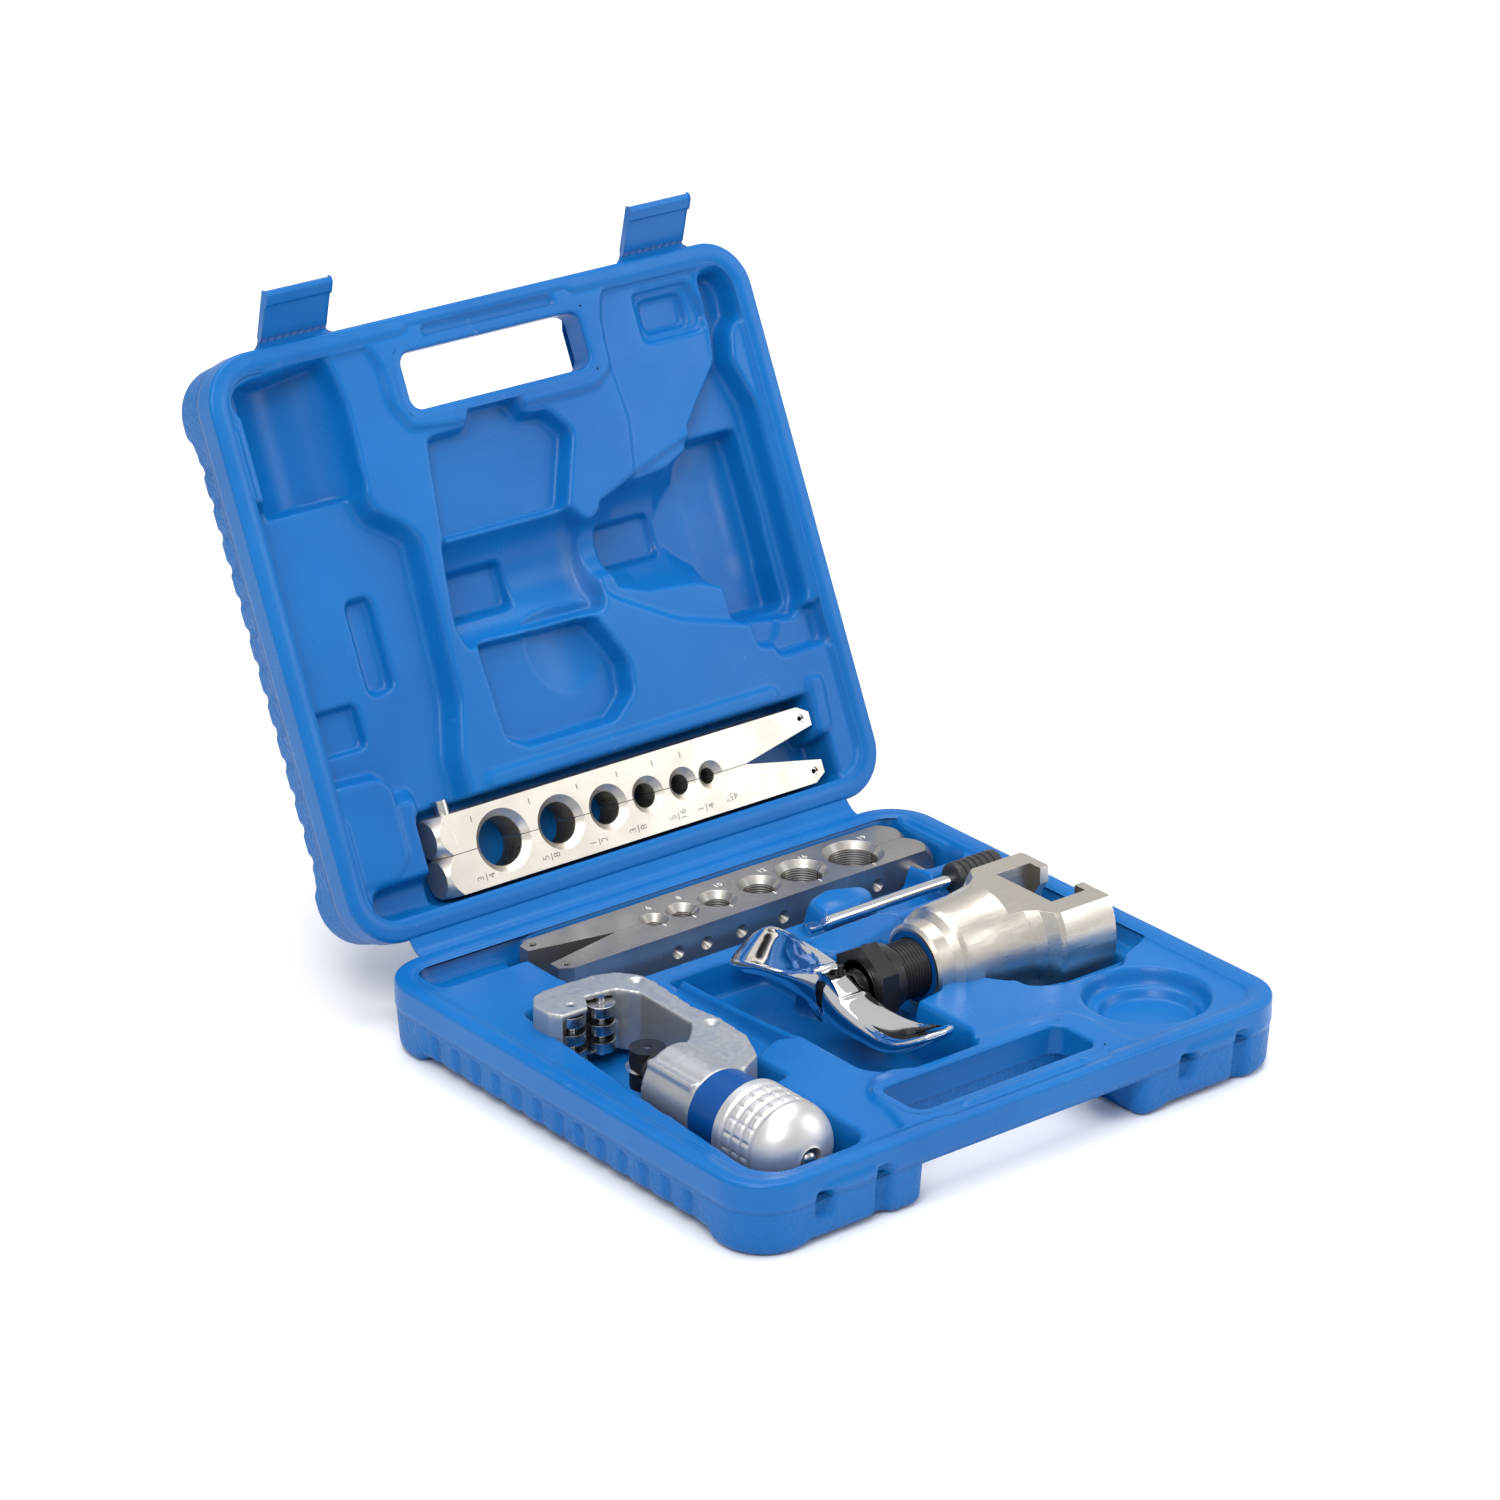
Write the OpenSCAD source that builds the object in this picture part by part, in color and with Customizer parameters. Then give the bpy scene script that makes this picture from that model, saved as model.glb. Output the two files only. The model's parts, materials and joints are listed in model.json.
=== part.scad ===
// Flaring tool set in its moulded carrying case: two split die bars, the
// screw-fed flaring yoke, a roller tube cutter and a deburrer.
// Millimetres, +Z up. The origin is the centre of the base's bottom face,
// X runs along the hinge and -Y points to the handle side.

/* [Case] */
// Width of the case along its hinge
case_w = 250; // [250:1:258]
// Depth of the case from handle to hinge
case_d = 224; // [224:1:230]
// Height of the base, from its bottom face to the parting plane
base_h = 29; // [29:1:32]
// Height of the lid, from the parting plane to its outer face
lid_h = 29; // [29:1:32]
// Radius of the case's upright corners
corner_r = 20; // [16:1:28]
// Thickness of the moulded outer and inner walls
wall = 2; // [1.8:0.1:2.2]
// Angle between the closed lid and the lid as it rests open
open_angle = 115; // [100:1:120]

/* [Die bars] */
// Length of each split bar
bar_len = 178; // [176:1:180]
// Width of a closed pair of halves
bar_w = 30.4; // [29:0.2:30.8]
// Thickness of a bar
bar_t = 16; // [15:0.5:16]
// Depth of the flare countersinks
flare_depth = 2.6; // [1.5:0.1:3]

/* [Yoke] */
// Radius of the slotted flange
flange_r = 29.8; // [28:0.2:30]
// Height of the flats above and below the screw's axis
flat_h = 16.4; // [14:0.2:17]
// Radius of the feed screw
screw_r = 10.9; // [10:0.1:11]
// Reach of each handle arm from the screw's axis
arm_len = 61; // [54:1:62]

/* [Cutter] */
// Outer radius of the feed knob
knob_r = 17.4; // [16.8:0.1:18]
// Height of the cutter's frame
frame_t = 24; // [22:0.5:25]
// Radius of a tube roller
roller_r = 5.5; // [5:0.1:6]
// Radius of the cutting wheel
wheel_r = 8; // [7:0.1:9]

/* [Hidden] */
$fn = 64;
eps = 0.01;

// Metals and plastics, as colours only
case_blue = [0.13, 0.38, 0.74];
satin_nickel = [0.80, 0.77, 0.72];
chrome = [0.86, 0.87, 0.89];
cast_silver = [0.72, 0.74, 0.76];
black_oxide = [0.09, 0.09, 0.10];
steel = [0.62, 0.62, 0.64];

// Case halves. Each is drawn with its parting plane at z = 0 and its outer
// face at z = -h, so the lid is a mirrored half.
rim_w = 8;              // flat rim outside the tray's step
tray_drop = 1.5;        // step from the rim down to the tray's face
skirt = 2;              // inset of the foot of each half
foot_h = 5;             // height of that inset foot
slot_x0 = -41;          // grip opening, shared by both halves
slot_x1 = 42;
slot_y0 = -98;
slot_y1 = -76;
notch_x0 = -46.5;         // hollow under the grip
notch_x1 = 50;
grip_t = 12;            // thickness of the grip in each half
hinge_y = case_d / 2 + 4;
hinge_gap = hinge_y - case_d / 2;

module rounded_rect(x0, x1, y0, y1, r) {
    translate([x0 + r, y0]) square([x1 - x0 - 2 * r, y1 - y0]);
    translate([x0, y0 + r]) square([x1 - x0, y1 - y0 - 2 * r]);
    for (x = [x0 + r, x1 - r], y = [y0 + r, y1 - r]) translate([x, y]) circle(r);
}

module case_outline(inset) {
    w = case_w / 2 - inset;
    d = case_d / 2 - inset;
    rounded_rect(-w, w, -d, d, corner_r - inset);
}

module slab(z0, z1) {
    translate([0, 0, z0]) linear_extrude(z1 - z0) children();
}

module grip_slot(grow) {
    rounded_rect(slot_x0 - grow, slot_x1 + grow, slot_y0 - grow, slot_y1 + grow, 4 + grow);
}

module grip_notch(grow) {
    y0 = -case_d / 2 - 1;
    translate([notch_x0 - grow, y0]) square([notch_x1 - notch_x0 + 2 * grow, slot_y1 + grow - y0]);
}

module half_shell(h) {
    difference() {
        union() {
            slab(-h + foot_h, -wall) case_outline(0);
            slab(-h, -h + foot_h + eps) case_outline(skirt);
        }
        difference() {
            slab(-h + wall, 1) case_outline(skirt + wall);
            slab(-h, 2) grip_slot(wall);
            slab(-h, -grip_t + wall) grip_notch(wall);
        }
        slab(-h - 1, 2) grip_slot(0);
        slab(-h - 1, -grip_t) grip_notch(0);
    }
}

// A pocket is [x0, x1, y0, y1, depth below the rim]
module pocket_block(p, grow) {
    slab(-p[4] - grow, 1) rounded_rect(p[0] - grow, p[1] + grow, p[2] - grow, p[3] + grow, 3 + grow);
}

// Rim-level land round the grip slot
module grip_land() {
    d = case_d / 2;
    polygon([[-58, -d], [-46, -72], [-42, -69], [38, -69], [44, -72], [56, -d]]);
}

module half_tray(h, pockets, round_pocket) {
    difference() {
        union() {
            slab(-wall, 0) case_outline(0);
            slab(-tray_drop - wall, 0) case_outline(rim_w - wall);
            for (p = pockets) pocket_block(p, wall - 0.4);
            if (len(round_pocket) == 4) round_block(round_pocket, wall - 0.4);
        }
        difference() {
            slab(-tray_drop, 1) case_outline(rim_w);
            slab(-tray_drop - 1, 2) grip_land();
        }
        for (p = pockets) pocket_block(p, 0);
        if (len(round_pocket) == 4) round_block(round_pocket, 0);
        slab(-h, 2) grip_slot(0);
        slab(-h, -wall) grip_slot(wall + 0.1);
    }
}

// A round pocket is [x, y, radius, depth]
module round_block(p, grow) {
    translate([p[0], p[1], -p[3] - grow]) cylinder(h = p[3] + grow + 1, r = p[2] + grow);
}

// Places of the tools in the closed case, measured from the parting plane
yoke_x = 31;                       // handle end of the yoke
yoke_y = -8.5;
cutter_x = -87.5;
cutter_y = 4.5;
cutter_z = -5;
metric_end = 109.5;                // lobed end of the metric bar
metric_seam = 86.4;
metric_top = -2;
inch_end = -80.4;                  // lobed end of the inch bar
inch_seam = 87;
inch_top = 1.5;                    // face of the inch bar, above the parting plane
deburr_y = 42.5;
deburr_z = -1;

bar_clear = 1.2;
base_pockets = [
    [metric_end - bar_len - 2.5, metric_end + 2.5, metric_seam - bar_w / 2 - 4.5,
        metric_seam + bar_w / 2 + bar_clear, bar_t - metric_top + 0.2],
    [95, 108, 62, 70, 14],
    [-67, 90, 48, 68, 11],
    [-62, -32, -28, 68, 11],
    [56, 116.5, -51, 28, 8],
    [76, 109, yoke_y - flange_r - 1.5, yoke_y + flange_r + 1.5, flat_h + 0.6],
    [30, 82, -35, 18, 24.6],
    [-14, 32, -28, 11, 19],
    [-33, 15.5, -72.3, 56.5, 24.6],
    [20, 96, deburr_y - 3.5, deburr_y + 3.5, 6],
    [91, 116.5, deburr_y - 8, deburr_y + 8, 9.5],
    [-106.5, -57.5, -44, 53, 20.5],
    [-110.5, -64.5, -98.5, -41.5, 24.6]
];
base_round = [85, -76, 22, 10];
lid_pockets = [
    [inch_end - 5, inch_end + bar_len + 4, inch_seam - bar_w / 2 - bar_clear - 2,
        inch_seam + bar_w / 2 + bar_clear, bar_t + inch_top + 0.2],
    [-80, -62, 60, 72, 14],
    [-114, -57, -50, 50, 13],
    [-111, -64, -102, -46, 20],
    [75.5, 112, -42, 26, 21],
    [30, 78, -35, 18, 25],
    [-45, 32, -30, 14, 20.5],
    [-41, 24, -72.3, -28, 11],
    [-41, 24, 12, 57, 11],
    [20, 96, deburr_y - 3.5, deburr_y + 3.5, 5],
    [91, 116.5, deburr_y - 8, deburr_y + 8, 9],
    [69, 98, -97, -78, 7]
];

module base_place() { translate([0, 0, base_h]) children(); }

// Puts a part drawn in the closed lid where the open lid holds it
module lid_place() {
    translate([0, hinge_y, base_h]) rotate([-open_angle, 0, 0]) translate([0, -hinge_y, 0]) children();
}

module grip_rib(grow) {
    rounded_rect(-26 - grow, 30 + grow, -107 - grow, -103.5 + grow, 1.5 + grow);
}

// Ledge on the base's front that a closed latch hooks under
module latch_keeper(x) {
    translate([x - 11, -case_d / 2 - 1.1, -9.5]) cube([22, 3, 2.5]);
}

// Ledge on the lid's front at the root of a latch
module latch_root(x) {
    translate([x - latch_w / 2, -case_d / 2 - 0.5, latch_pivot[1] - 1.5]) cube([latch_w, 2, 3]);
}

latch_x = [-80.5, 86];
latch_w = 29;
latch_len = 21;
latch_t = 1.8;
latch_pivot = [-case_d / 2 - 2.2, 5.5]; // y and z of the latch's fold, above the parting plane
latch_bead_r = 1.4;
latch_hang = 38;                        // how far a free latch droops from straight out

module base_shell() {
    color(case_blue) base_place() {
        half_shell(base_h);
        for (x = latch_x) latch_keeper(x);
    }
}

module base_tray() {
    color(case_blue) base_place() {
        half_tray(base_h, base_pockets, base_round);
        // Hump that holds the deburrer's rod and the metric bar apart
        slab(-11.5, 0.8) rounded_rect(38, 57, 50, 61, 4);
        // Long hump between the deburrer and the yoke
        slab(-tray_drop - eps, 0.8) rounded_rect(18, 60, 22, 35, 5);
        // Rib along the grip, which enters a groove in the lid's grip
        slab(-eps, 1) grip_rib(0);
    }
}

web_w = 208;
web_t = 1.1;
web_lap = 0.32;         // keeps the tilted web's corners out of both halves

module hinge_web() {
    far_y = hinge_y + hinge_gap * cos(180 - open_angle);
    far_z = hinge_gap * sin(180 - open_angle);
    rise = atan2(far_z, far_y - case_d / 2);
    reach = sqrt(pow(far_z, 2) + pow(far_y - case_d / 2, 2));
    color(case_blue) base_place() translate([-web_w / 2, case_d / 2 + web_lap, -0.9]) rotate([rise, 0, 0])
        translate([0, 0, -web_t / 2]) cube([web_w, reach - 2 * web_lap, web_t]);
}

module lid_shell() {
    color(case_blue) lid_place() {
        mirror([0, 0, 1]) half_shell(lid_h);
        for (x = latch_x) latch_root(x);
    }
}

module lid_tray() {
    color(case_blue) lid_place() {
        difference() {
            mirror([0, 0, 1]) half_tray(lid_h, lid_pockets, []);
            slab(-1, 1.3) grip_rib(0.5);
        }
        // Snap ribs along both sides of the inch bar
        for (x = [-25, 30], side = [-1, 1])
            translate([x, inch_seam + side * (bar_w / 2 + bar_clear + 1.3 - (side < 0 ? 0 : 0.8)), 2.2])
                rotate([0, 90, 0]) cylinder(h = 22, r = 1.1);
    }
}

// Latch strap with a rounded fold and a hooked end, drawn along -Y
module latch(x) {
    strap = latch_len - 3;
    color(case_blue) lid_place() translate([x - latch_w / 2, latch_pivot[0], latch_pivot[1]])
            rotate([latch_hang, 0, 0]) {
        rotate([0, 90, 0]) cylinder(h = latch_w, r = 1.5);
        translate([0, -strap, -latch_t / 2]) cube([latch_w, strap, latch_t]);
        translate([0, -strap, -0.5]) rotate([0, 90, 0]) cylinder(h = latch_w, r = latch_bead_r);
        translate([0, -latch_len, -latch_t / 2]) cube([latch_w, 3, latch_t]);
    }
}

module latch_left() { latch(latch_x[0]); }
module latch_right() { latch(latch_x[1]); }

// Split die bars. Each is drawn with its lobed end at x = 0, the tips at
// +X, its seam on y = 0 and its face at z = 0.
inch_holes = [[27.9, 19.05], [54.5, 15.88], [76.8, 12.7], [95.6, 9.53], [112.4, 7.94], [125.8, 6.35]];
metric_holes = [[28.7, 19], [54.2, 16], [74.7, 12], [94.9, 10], [111.5, 8], [124.8, 6]];
vee_x = 143;            // where the tips start to part
tip_gap = 7;            // half gap between the tips at their ends
seam_gap = 0.12;        // half gap between the closed halves
lobe_r = 7;             // flat end of each turned lobe
guide_x = 9.8;          // guide pin, from the lobed end
guide_r = 3;
guide_out = 5.5;        // length of pin outside the sliding jaw
tail_x = bar_len - 4.6; // tail pins near the tips
tail_y = 10.6;
tail_r = 1.7;
pin_fit = 0.04;         // radial clearance of a running pin
half_w = bar_w / 2;

// Side is +1 or -1, the side of the seam that the half lies on
module bar_half(holes, side, guide_bore, dimples) {
    mid = half_w / 2;
    difference() {
        intersection() {
            translate([0, 0, -bar_t]) linear_extrude(bar_t) polygon([
                [0, side * seam_gap], [vee_x, side * seam_gap], [bar_len, side * tip_gap],
                [bar_len, side * (half_w - 3)], [bar_len - 5, side * half_w], [0, side * half_w]
            ]);
            translate([0, side * mid, -bar_t / 2]) rotate([0, 90, 0]) rotate_extrude()
                polygon([[0, 0], [lobe_r, 0], [lobe_r + 4.6, 6], [lobe_r + 4.6, bar_len], [0, bar_len]]);
        }
        for (hole = holes) {
            r = hole[1] / 2;
            translate([hole[0], 0, -bar_t - 1]) cylinder(h = bar_t + 2, r = r);
            translate([hole[0], 0, -flare_depth]) cylinder(h = flare_depth + eps, r1 = r, r2 = r + flare_depth);
        }
        translate([guide_x, -side, -bar_t / 2]) rotate([-side * 90, 0, 0])
            cylinder(h = half_w + 3, r = guide_bore);
        translate([tail_x, side * tail_y, -bar_t - 1]) cylinder(h = bar_t + 2, r = tail_r);
        if (dimples) for (hole = holes)
            translate([hole[0], side * (half_w + eps), -bar_t / 2]) rotate([side * 90, 0, 0])
                cylinder(h = 2.6, r1 = 2.7, r2 = 0.2);
    }
}

module guide_pin(side) {
    translate([guide_x, -side * (half_w - 1.5), -bar_t / 2]) rotate([-side * 90, 0, 0])
        cylinder(h = 2 * half_w - 1.5 + guide_out, r = guide_r);
}

module tail_pin(side) {
    translate([tail_x, side * tail_y, -bar_t + 0.6]) difference() {
        cylinder(h = bar_t - 1.2, r = tail_r);
        translate([0, 0, -1]) cylinder(h = bar_t + 2, r = tail_r - 0.7);
        translate([0, -0.35, -1]) cube([tail_r + 1, 0.7, bar_t + 2]);
    }
}

module metric_place() {
    base_place() translate([metric_end, metric_seam, metric_top]) rotate([0, 0, 180]) children();
}

module inch_place() {
    lid_place() translate([inch_end, inch_seam, inch_top]) mirror([0, 0, 1]) children();
}

module inch_bar_fixed_jaw() {
    color(satin_nickel) inch_place() bar_half(inch_holes, 1, guide_r, false);
}

module inch_bar_sliding_jaw() {
    color(satin_nickel) inch_place() bar_half(inch_holes, -1, guide_r + pin_fit, true);
}

module inch_bar_guide_pin() { color(satin_nickel) inch_place() guide_pin(-1); }
module inch_bar_fixed_tail_pin() { color(steel) inch_place() tail_pin(1); }
module inch_bar_sliding_tail_pin() { color(steel) inch_place() tail_pin(-1); }

module metric_bar_fixed_jaw() {
    color(satin_nickel) metric_place() bar_half(metric_holes, -1, guide_r, false);
}

module metric_bar_sliding_jaw() {
    color(satin_nickel) metric_place() bar_half(metric_holes, 1, guide_r + pin_fit, true);
}

module metric_bar_guide_pin() { color(satin_nickel) metric_place() guide_pin(1); }
module metric_bar_fixed_tail_pin() { color(steel) metric_place() tail_pin(-1); }
module metric_bar_sliding_tail_pin() { color(steel) metric_place() tail_pin(1); }

// Yoke. Drawn with the screw's axis on X and its handle end at x = 0.
flange_x0 = 49.2;
flange_x1 = 74.2;
slot_x = flange_x1 - bar_t - 4.7;   // floor of the slot that takes a bar
slot_half = half_w + 0.4;
mouth_half = 9.6;
bore_r = screw_r + 0.06;
cavity_r = 13.5;
cavity_x = 30;

module yoke_place() {
    base_place() translate([yoke_x, yoke_y, 0]) children();
}

module about_x() { rotate([0, 90, 0]) children(); }

module yoke_body() {
    color(satin_nickel) yoke_place() difference() {
        about_x() rotate_extrude($fn = 96) polygon([
            [bore_r, 0], [14.8, 0], [16, 1.2], [16.5, 7], [19, 9.5], [19.8, 12], [20.4, 25], [21.8, 35],
            [22.4, 40], [24.6, 44.5], [flange_r - 1, flange_x0 - 1.5], [flange_r, flange_x0 + 0.5],
            [flange_r, flange_x1 - 1], [flange_r - 1, flange_x1], [bore_r, flange_x1]
        ]);
        about_x() translate([0, 0, -1]) cylinder(h = 4.5, r = 13.6);
        about_x() translate([0, 0, cavity_x]) cylinder(h = flange_x1, r = cavity_r);
        for (side = [-1, 1])
            translate([34, -40, side > 0 ? flat_h : -flat_h - 20]) cube([50, 80, 20]);
        translate([slot_x, -slot_half, -40]) cube([bar_t + 0.5, 2 * slot_half, 80]);
        translate([slot_x, -mouth_half, -40]) cube([40, 2 * mouth_half, 80]);
    }
}

// Plastic wiper bush in the mouth of the yoke
module yoke_bush() {
    color(case_blue) yoke_place() about_x() difference() {
        cylinder(h = 3.4, r = 13.55);
        translate([0, 0, -1]) cylinder(h = 6, r = screw_r + 0.1);
    }
}

screw_x0 = -41;        // handle end of the screw
hub_x0 = -42;
hub_len = 16;
hub_r = 11;
nut_x0 = -25.2;
thread_end = 34.5;
nose_r = 7;
nose_end = 40.2;
cone_base = 42.8;
cone_r = 9.4;
cone_shift = 0.8;      // throw of the eccentric nose

module feed_screw() {
    color(black_oxide) yoke_place() about_x() union() {
        translate([0, 0, screw_x0]) cylinder(h = hub_len, r = 6);
        translate([0, 0, nut_x0]) cylinder(h = 8, r = 8);
        translate([0, 0, -17.3]) cylinder(h = thread_end + 17.3, r = screw_r);
        translate([0, cone_shift, thread_end]) cylinder(h = nose_end - thread_end, r = nose_r);
        translate([0, cone_shift, nose_end]) cylinder(h = 5, r = 3);
    }
}

module lock_nut() {
    color(black_oxide) yoke_place() about_x() difference() {
        union() {
            translate([0, 0, nut_x0 + 0.2]) cylinder(h = 7.6, r = 15.3, $fn = 6);
            translate([0, 0, nut_x0 + 7.8]) cylinder(h = 5, r1 = 13.6, r2 = 12.4);
        }
        translate([0, 0, nut_x0 - 1]) cylinder(h = 9, r = 8);
        translate([0, 0, nut_x0 + 7.8]) cylinder(h = 6, r = screw_r);
    }
}

// Friction washer between the handle's hub and the nut
module clutch_washer() {
    color(steel) yoke_place() about_x() translate([0, 0, hub_x0 + hub_len + 0.15]) difference() {
        cylinder(h = 0.6, r = 9.5);
        translate([0, 0, -1]) cylinder(h = 3, r = 6.06);
    }
}

module cone_race() {
    color(steel) yoke_place() about_x() translate([0, cone_shift, nose_end + 0.05]) difference() {
        cylinder(h = 0.9, r = 7.5);
        translate([0, 0, -1]) cylinder(h = 3, r = 3);
    }
}

cone_ball_r = 0.65;
cone_ball_count = 10;

module cone_balls() {
    color(chrome) yoke_place() about_x() translate([0, cone_shift, nose_end + 0.98 + cone_ball_r])
        for (i = [0 : cone_ball_count - 1])
            rotate([0, 0, i * 360 / cone_ball_count]) translate([5.4, 0, 0]) sphere(r = cone_ball_r, $fn = 32);
}

module flaring_cone() {
    color(satin_nickel) yoke_place() about_x() translate([0, cone_shift, 0]) difference() {
        union() {
            translate([0, 0, cone_base]) cylinder(h = 1.6, r = cone_r);
            translate([0, 0, cone_base + 1.6]) cylinder(h = cone_r - 1.2, r1 = cone_r, r2 = 1.2);
        }
        translate([0, 0, cone_base - 1]) cylinder(h = 3.6, r = 3.05);
    }
}

// Two-armed handle. The arms are S-curved blades, cut from a plate seen
// along X and rounded at the tips seen from above.
arm_w = 17;

module arm_profile(side) {
    polygon([for (p = [
        [6, 9], [18, 2], [30, 0.5], [44, 2], [arm_len - 3, 7], [arm_len, 5.5], [arm_len - 2, 2],
        [46, -5], [32, -8.5], [18, -10], [4, -9.5]
    ]) [side * p[0], -side * p[1]]]);
}

module screw_handle() {
    color(chrome) yoke_place() difference() {
        union() {
            about_x() translate([0, 0, hub_x0]) cylinder(h = hub_len, r = hub_r);
            for (side = [-1, 1]) intersection() {
                translate([hub_x0 - 3, 0, 0]) rotate([90, 0, 90]) linear_extrude(arm_w) arm_profile(side);
                slab(-20, 20) rounded_rect(
                    hub_x0 - 3, hub_x0 - 3 + arm_w, min(0, side * arm_len), max(0, side * arm_len), 5);
            }
        }
        about_x() translate([0, 0, hub_x0 + 0.9]) cylinder(h = 30, r = 6.06);
        translate([hub_x0 + hub_len / 2, 0, 0]) cylinder(h = 30, r = 1.2);
    }
}

module handle_pin() {
    color(black_oxide) yoke_place() translate([hub_x0 + hub_len / 2, 0, 6.4])
        cylinder(h = hub_r - 6.8, r = 1.2);
}

// Cutter. Drawn with the feed axis on Y and the rollers at +Y.
roller_y = 27.5;
roller_x = 6.6;
roller_step = 7;
roller_w = 4.4;
barrel_y = -51;
sleeve_r = 15;
sleeve_end = -73.5;
knob_y0 = -67;
knob_end = -101.5;

module cutter_place() {
    base_place() translate([cutter_x, cutter_y, cutter_z]) children();
}

module along_y() { rotate([-90, 0, 0]) children(); }

module cutter_frame() {
    color(cast_silver) cutter_place() difference() {
        union() {
            slab(-frame_t / 2, frame_t / 2) polygon([
                [-14, 22], [-17, 27], [-17, 36], [-13, 41.5], [-6, 43.5], [14, 42.5], [22.5, 39.5], [28, 32],
                [28.8, 24], [26.8, 0], [28.8, -14], [27.5, -31], [21, -45], [12, -50], [-12, -50], [-12, -24],
                [3, -24.5], [9.2, -20.5], [16, -14], [18.6, -10], [19, 20], [14, 28], [1, 30], [0, 27], [-3, 22]
            ]);
            along_y() translate([0, 0, barrel_y]) cylinder(h = 27, r = 14.8);
        }
        // Channel that takes the rollers between the two cheeks
        translate([-13.5, 16, -roller_step - roller_w / 2 - 0.5])
            cube([roller_x + roller_r + 14.3, 18.5, 2 * roller_step + roller_w + 1]);
        for (x = [-roller_x, roller_x]) translate([x, roller_y, -30]) cylinder(h = 60, r = 1.5);
        along_y() translate([0, 0, barrel_y - 1]) cylinder(h = 40, r = 8.1);
        for (y = [29, -15]) translate([23.9, y, frame_t / 2 + 2.2]) sphere(r = 3.6);
    }
}

// Blue threaded sleeve that the knob runs over
module cutter_sleeve() {
    color(case_blue) cutter_place() along_y() translate([0, 0, sleeve_end]) difference() {
        cylinder(h = barrel_y - sleeve_end, r = sleeve_r);
        translate([0, 0, -1]) cylinder(h = 40, r = 4.06);
    }
}

module roller_pins() {
    color(steel) cutter_place() for (x = [-roller_x, roller_x])
        translate([x, roller_y, -frame_t / 2 + 0.5]) cylinder(h = frame_t - 1, r = 1.5);
}

module roller_stack(x) {
    translate([x, roller_y, 0]) for (i = [-1 : 1]) translate([0, 0, i * roller_step - roller_w / 2])
        difference() {
            cylinder(h = roller_w, r = roller_r);
            translate([0, 0, -1]) cylinder(h = roller_w + 2, r = 1.54);
        }
}

module outer_rollers() { color(chrome) cutter_place() roller_stack(-roller_x); }
module inner_rollers() { color(chrome) cutter_place() roller_stack(roller_x); }

wheel_y = -9;
wheel_t = 1.4;
fork_r = 6.6;

module wheel_carriage() {
    color(black_oxide) cutter_place() difference() {
        union() {
            translate([0, wheel_y, -7.5]) cylinder(h = 15, r = fork_r);
            translate([-fork_r, wheel_y - 7, -4.5]) cube([2 * fork_r, 7, 9]);
            along_y() translate([0, 0, wheel_y - 26]) cylinder(h = 20, r = 8);
        }
        translate([-20, wheel_y - wheel_r - 0.8, -wheel_t / 2 - 0.3]) cube([40, 40, wheel_t + 0.6]);
        translate([0, wheel_y, -10]) cylinder(h = 20, r = 1.5);
        along_y() translate([0, 0, wheel_y - 27]) cylinder(h = 16, r = 4.08);
    }
}

module cutting_wheel() {
    color(steel) cutter_place() translate([0, wheel_y, 0]) difference() {
        rotate_extrude() polygon([
            [0, -wheel_t / 2], [wheel_r - 2.4, -wheel_t / 2], [wheel_r, 0], [wheel_r - 2.4, wheel_t / 2],
            [0, wheel_t / 2]
        ]);
        translate([0, 0, -5]) cylinder(h = 10, r = 1.54);
    }
}

module wheel_pin() {
    color(steel) cutter_place() translate([0, wheel_y, -7]) cylinder(h = 14, r = 1.5);
}

module cutter_screw() {
    color(steel) cutter_place() along_y() translate([0, 0, knob_end + 9]) cylinder(h = 71, r = 4);
}

module cutter_knob() {
    color(cast_silver) cutter_place() along_y() difference() {
        union() {
            translate([0, 0, knob_end + 14]) cylinder(h = knob_y0 - knob_end - 14, r = knob_r);
            translate([0, 0, knob_end]) rotate_extrude() polygon(concat(
                [[0, 0], [7, 0]],
                [for (a = [70 : -10 : 0]) [knob_r * cos(a), 14 - 14 * sin(a)]],
                [[0, 14]]
            ));
        }
        translate([0, 0, knob_end + 14.5]) cylinder(h = 60, r = sleeve_r + 0.5);
        translate([0, 0, knob_end + 9]) cylinder(h = 30, r = 4);
        translate([0, 0, knob_end - 1]) cylinder(h = 6, r = 4.8);
        translate([0, 0, knob_end + 4]) cylinder(h = 6, r = 1.5);
        for (i = [0 : 2]) translate([0, 0, knob_end + 17 + i * 5.5]) difference() {
            cylinder(h = 1.6, r = knob_r + 1);
            translate([0, 0, -1]) cylinder(h = 4, r = knob_r - 0.7);
        }
    }
}

module knob_screw() {
    color(chrome) cutter_place() along_y() {
        translate([0, 0, knob_end + 3.4]) cylinder(h = 1.55, r = 3.9);
        translate([0, 0, knob_end + 3.4]) intersection() {
            sphere(r = 3.4, $fn = 48);
            translate([0, 0, -5]) cylinder(h = 5.2, r = 5);
        }
        translate([0, 0, knob_end + 4.9]) cylinder(h = 4, r = 1.5);
    }
}

// Deburrer: a steel scraper rod in a plastic grip
deburr_tip = 23;
deburr_grip_x = 93;
deburr_grip_len = 22;
deburr_grip_r = 6.5;
deburr_rod_r = 2.4;

module deburr_place() {
    base_place() translate([0, deburr_y, deburr_z]) children();
}

module deburrer_blade() {
    color(chrome) deburr_place() difference() {
        about_x() translate([0, 0, deburr_tip])
            cylinder(h = deburr_grip_x + 12 - deburr_tip, r = deburr_rod_r);
        translate([deburr_tip - 1, -5, 0.6]) cube([6, 10, 5]);
        translate([deburr_tip + 7, 0, 3.2]) rotate([90, 0, 0]) cylinder(h = 10, r = 2, center = true);
    }
}

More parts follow.
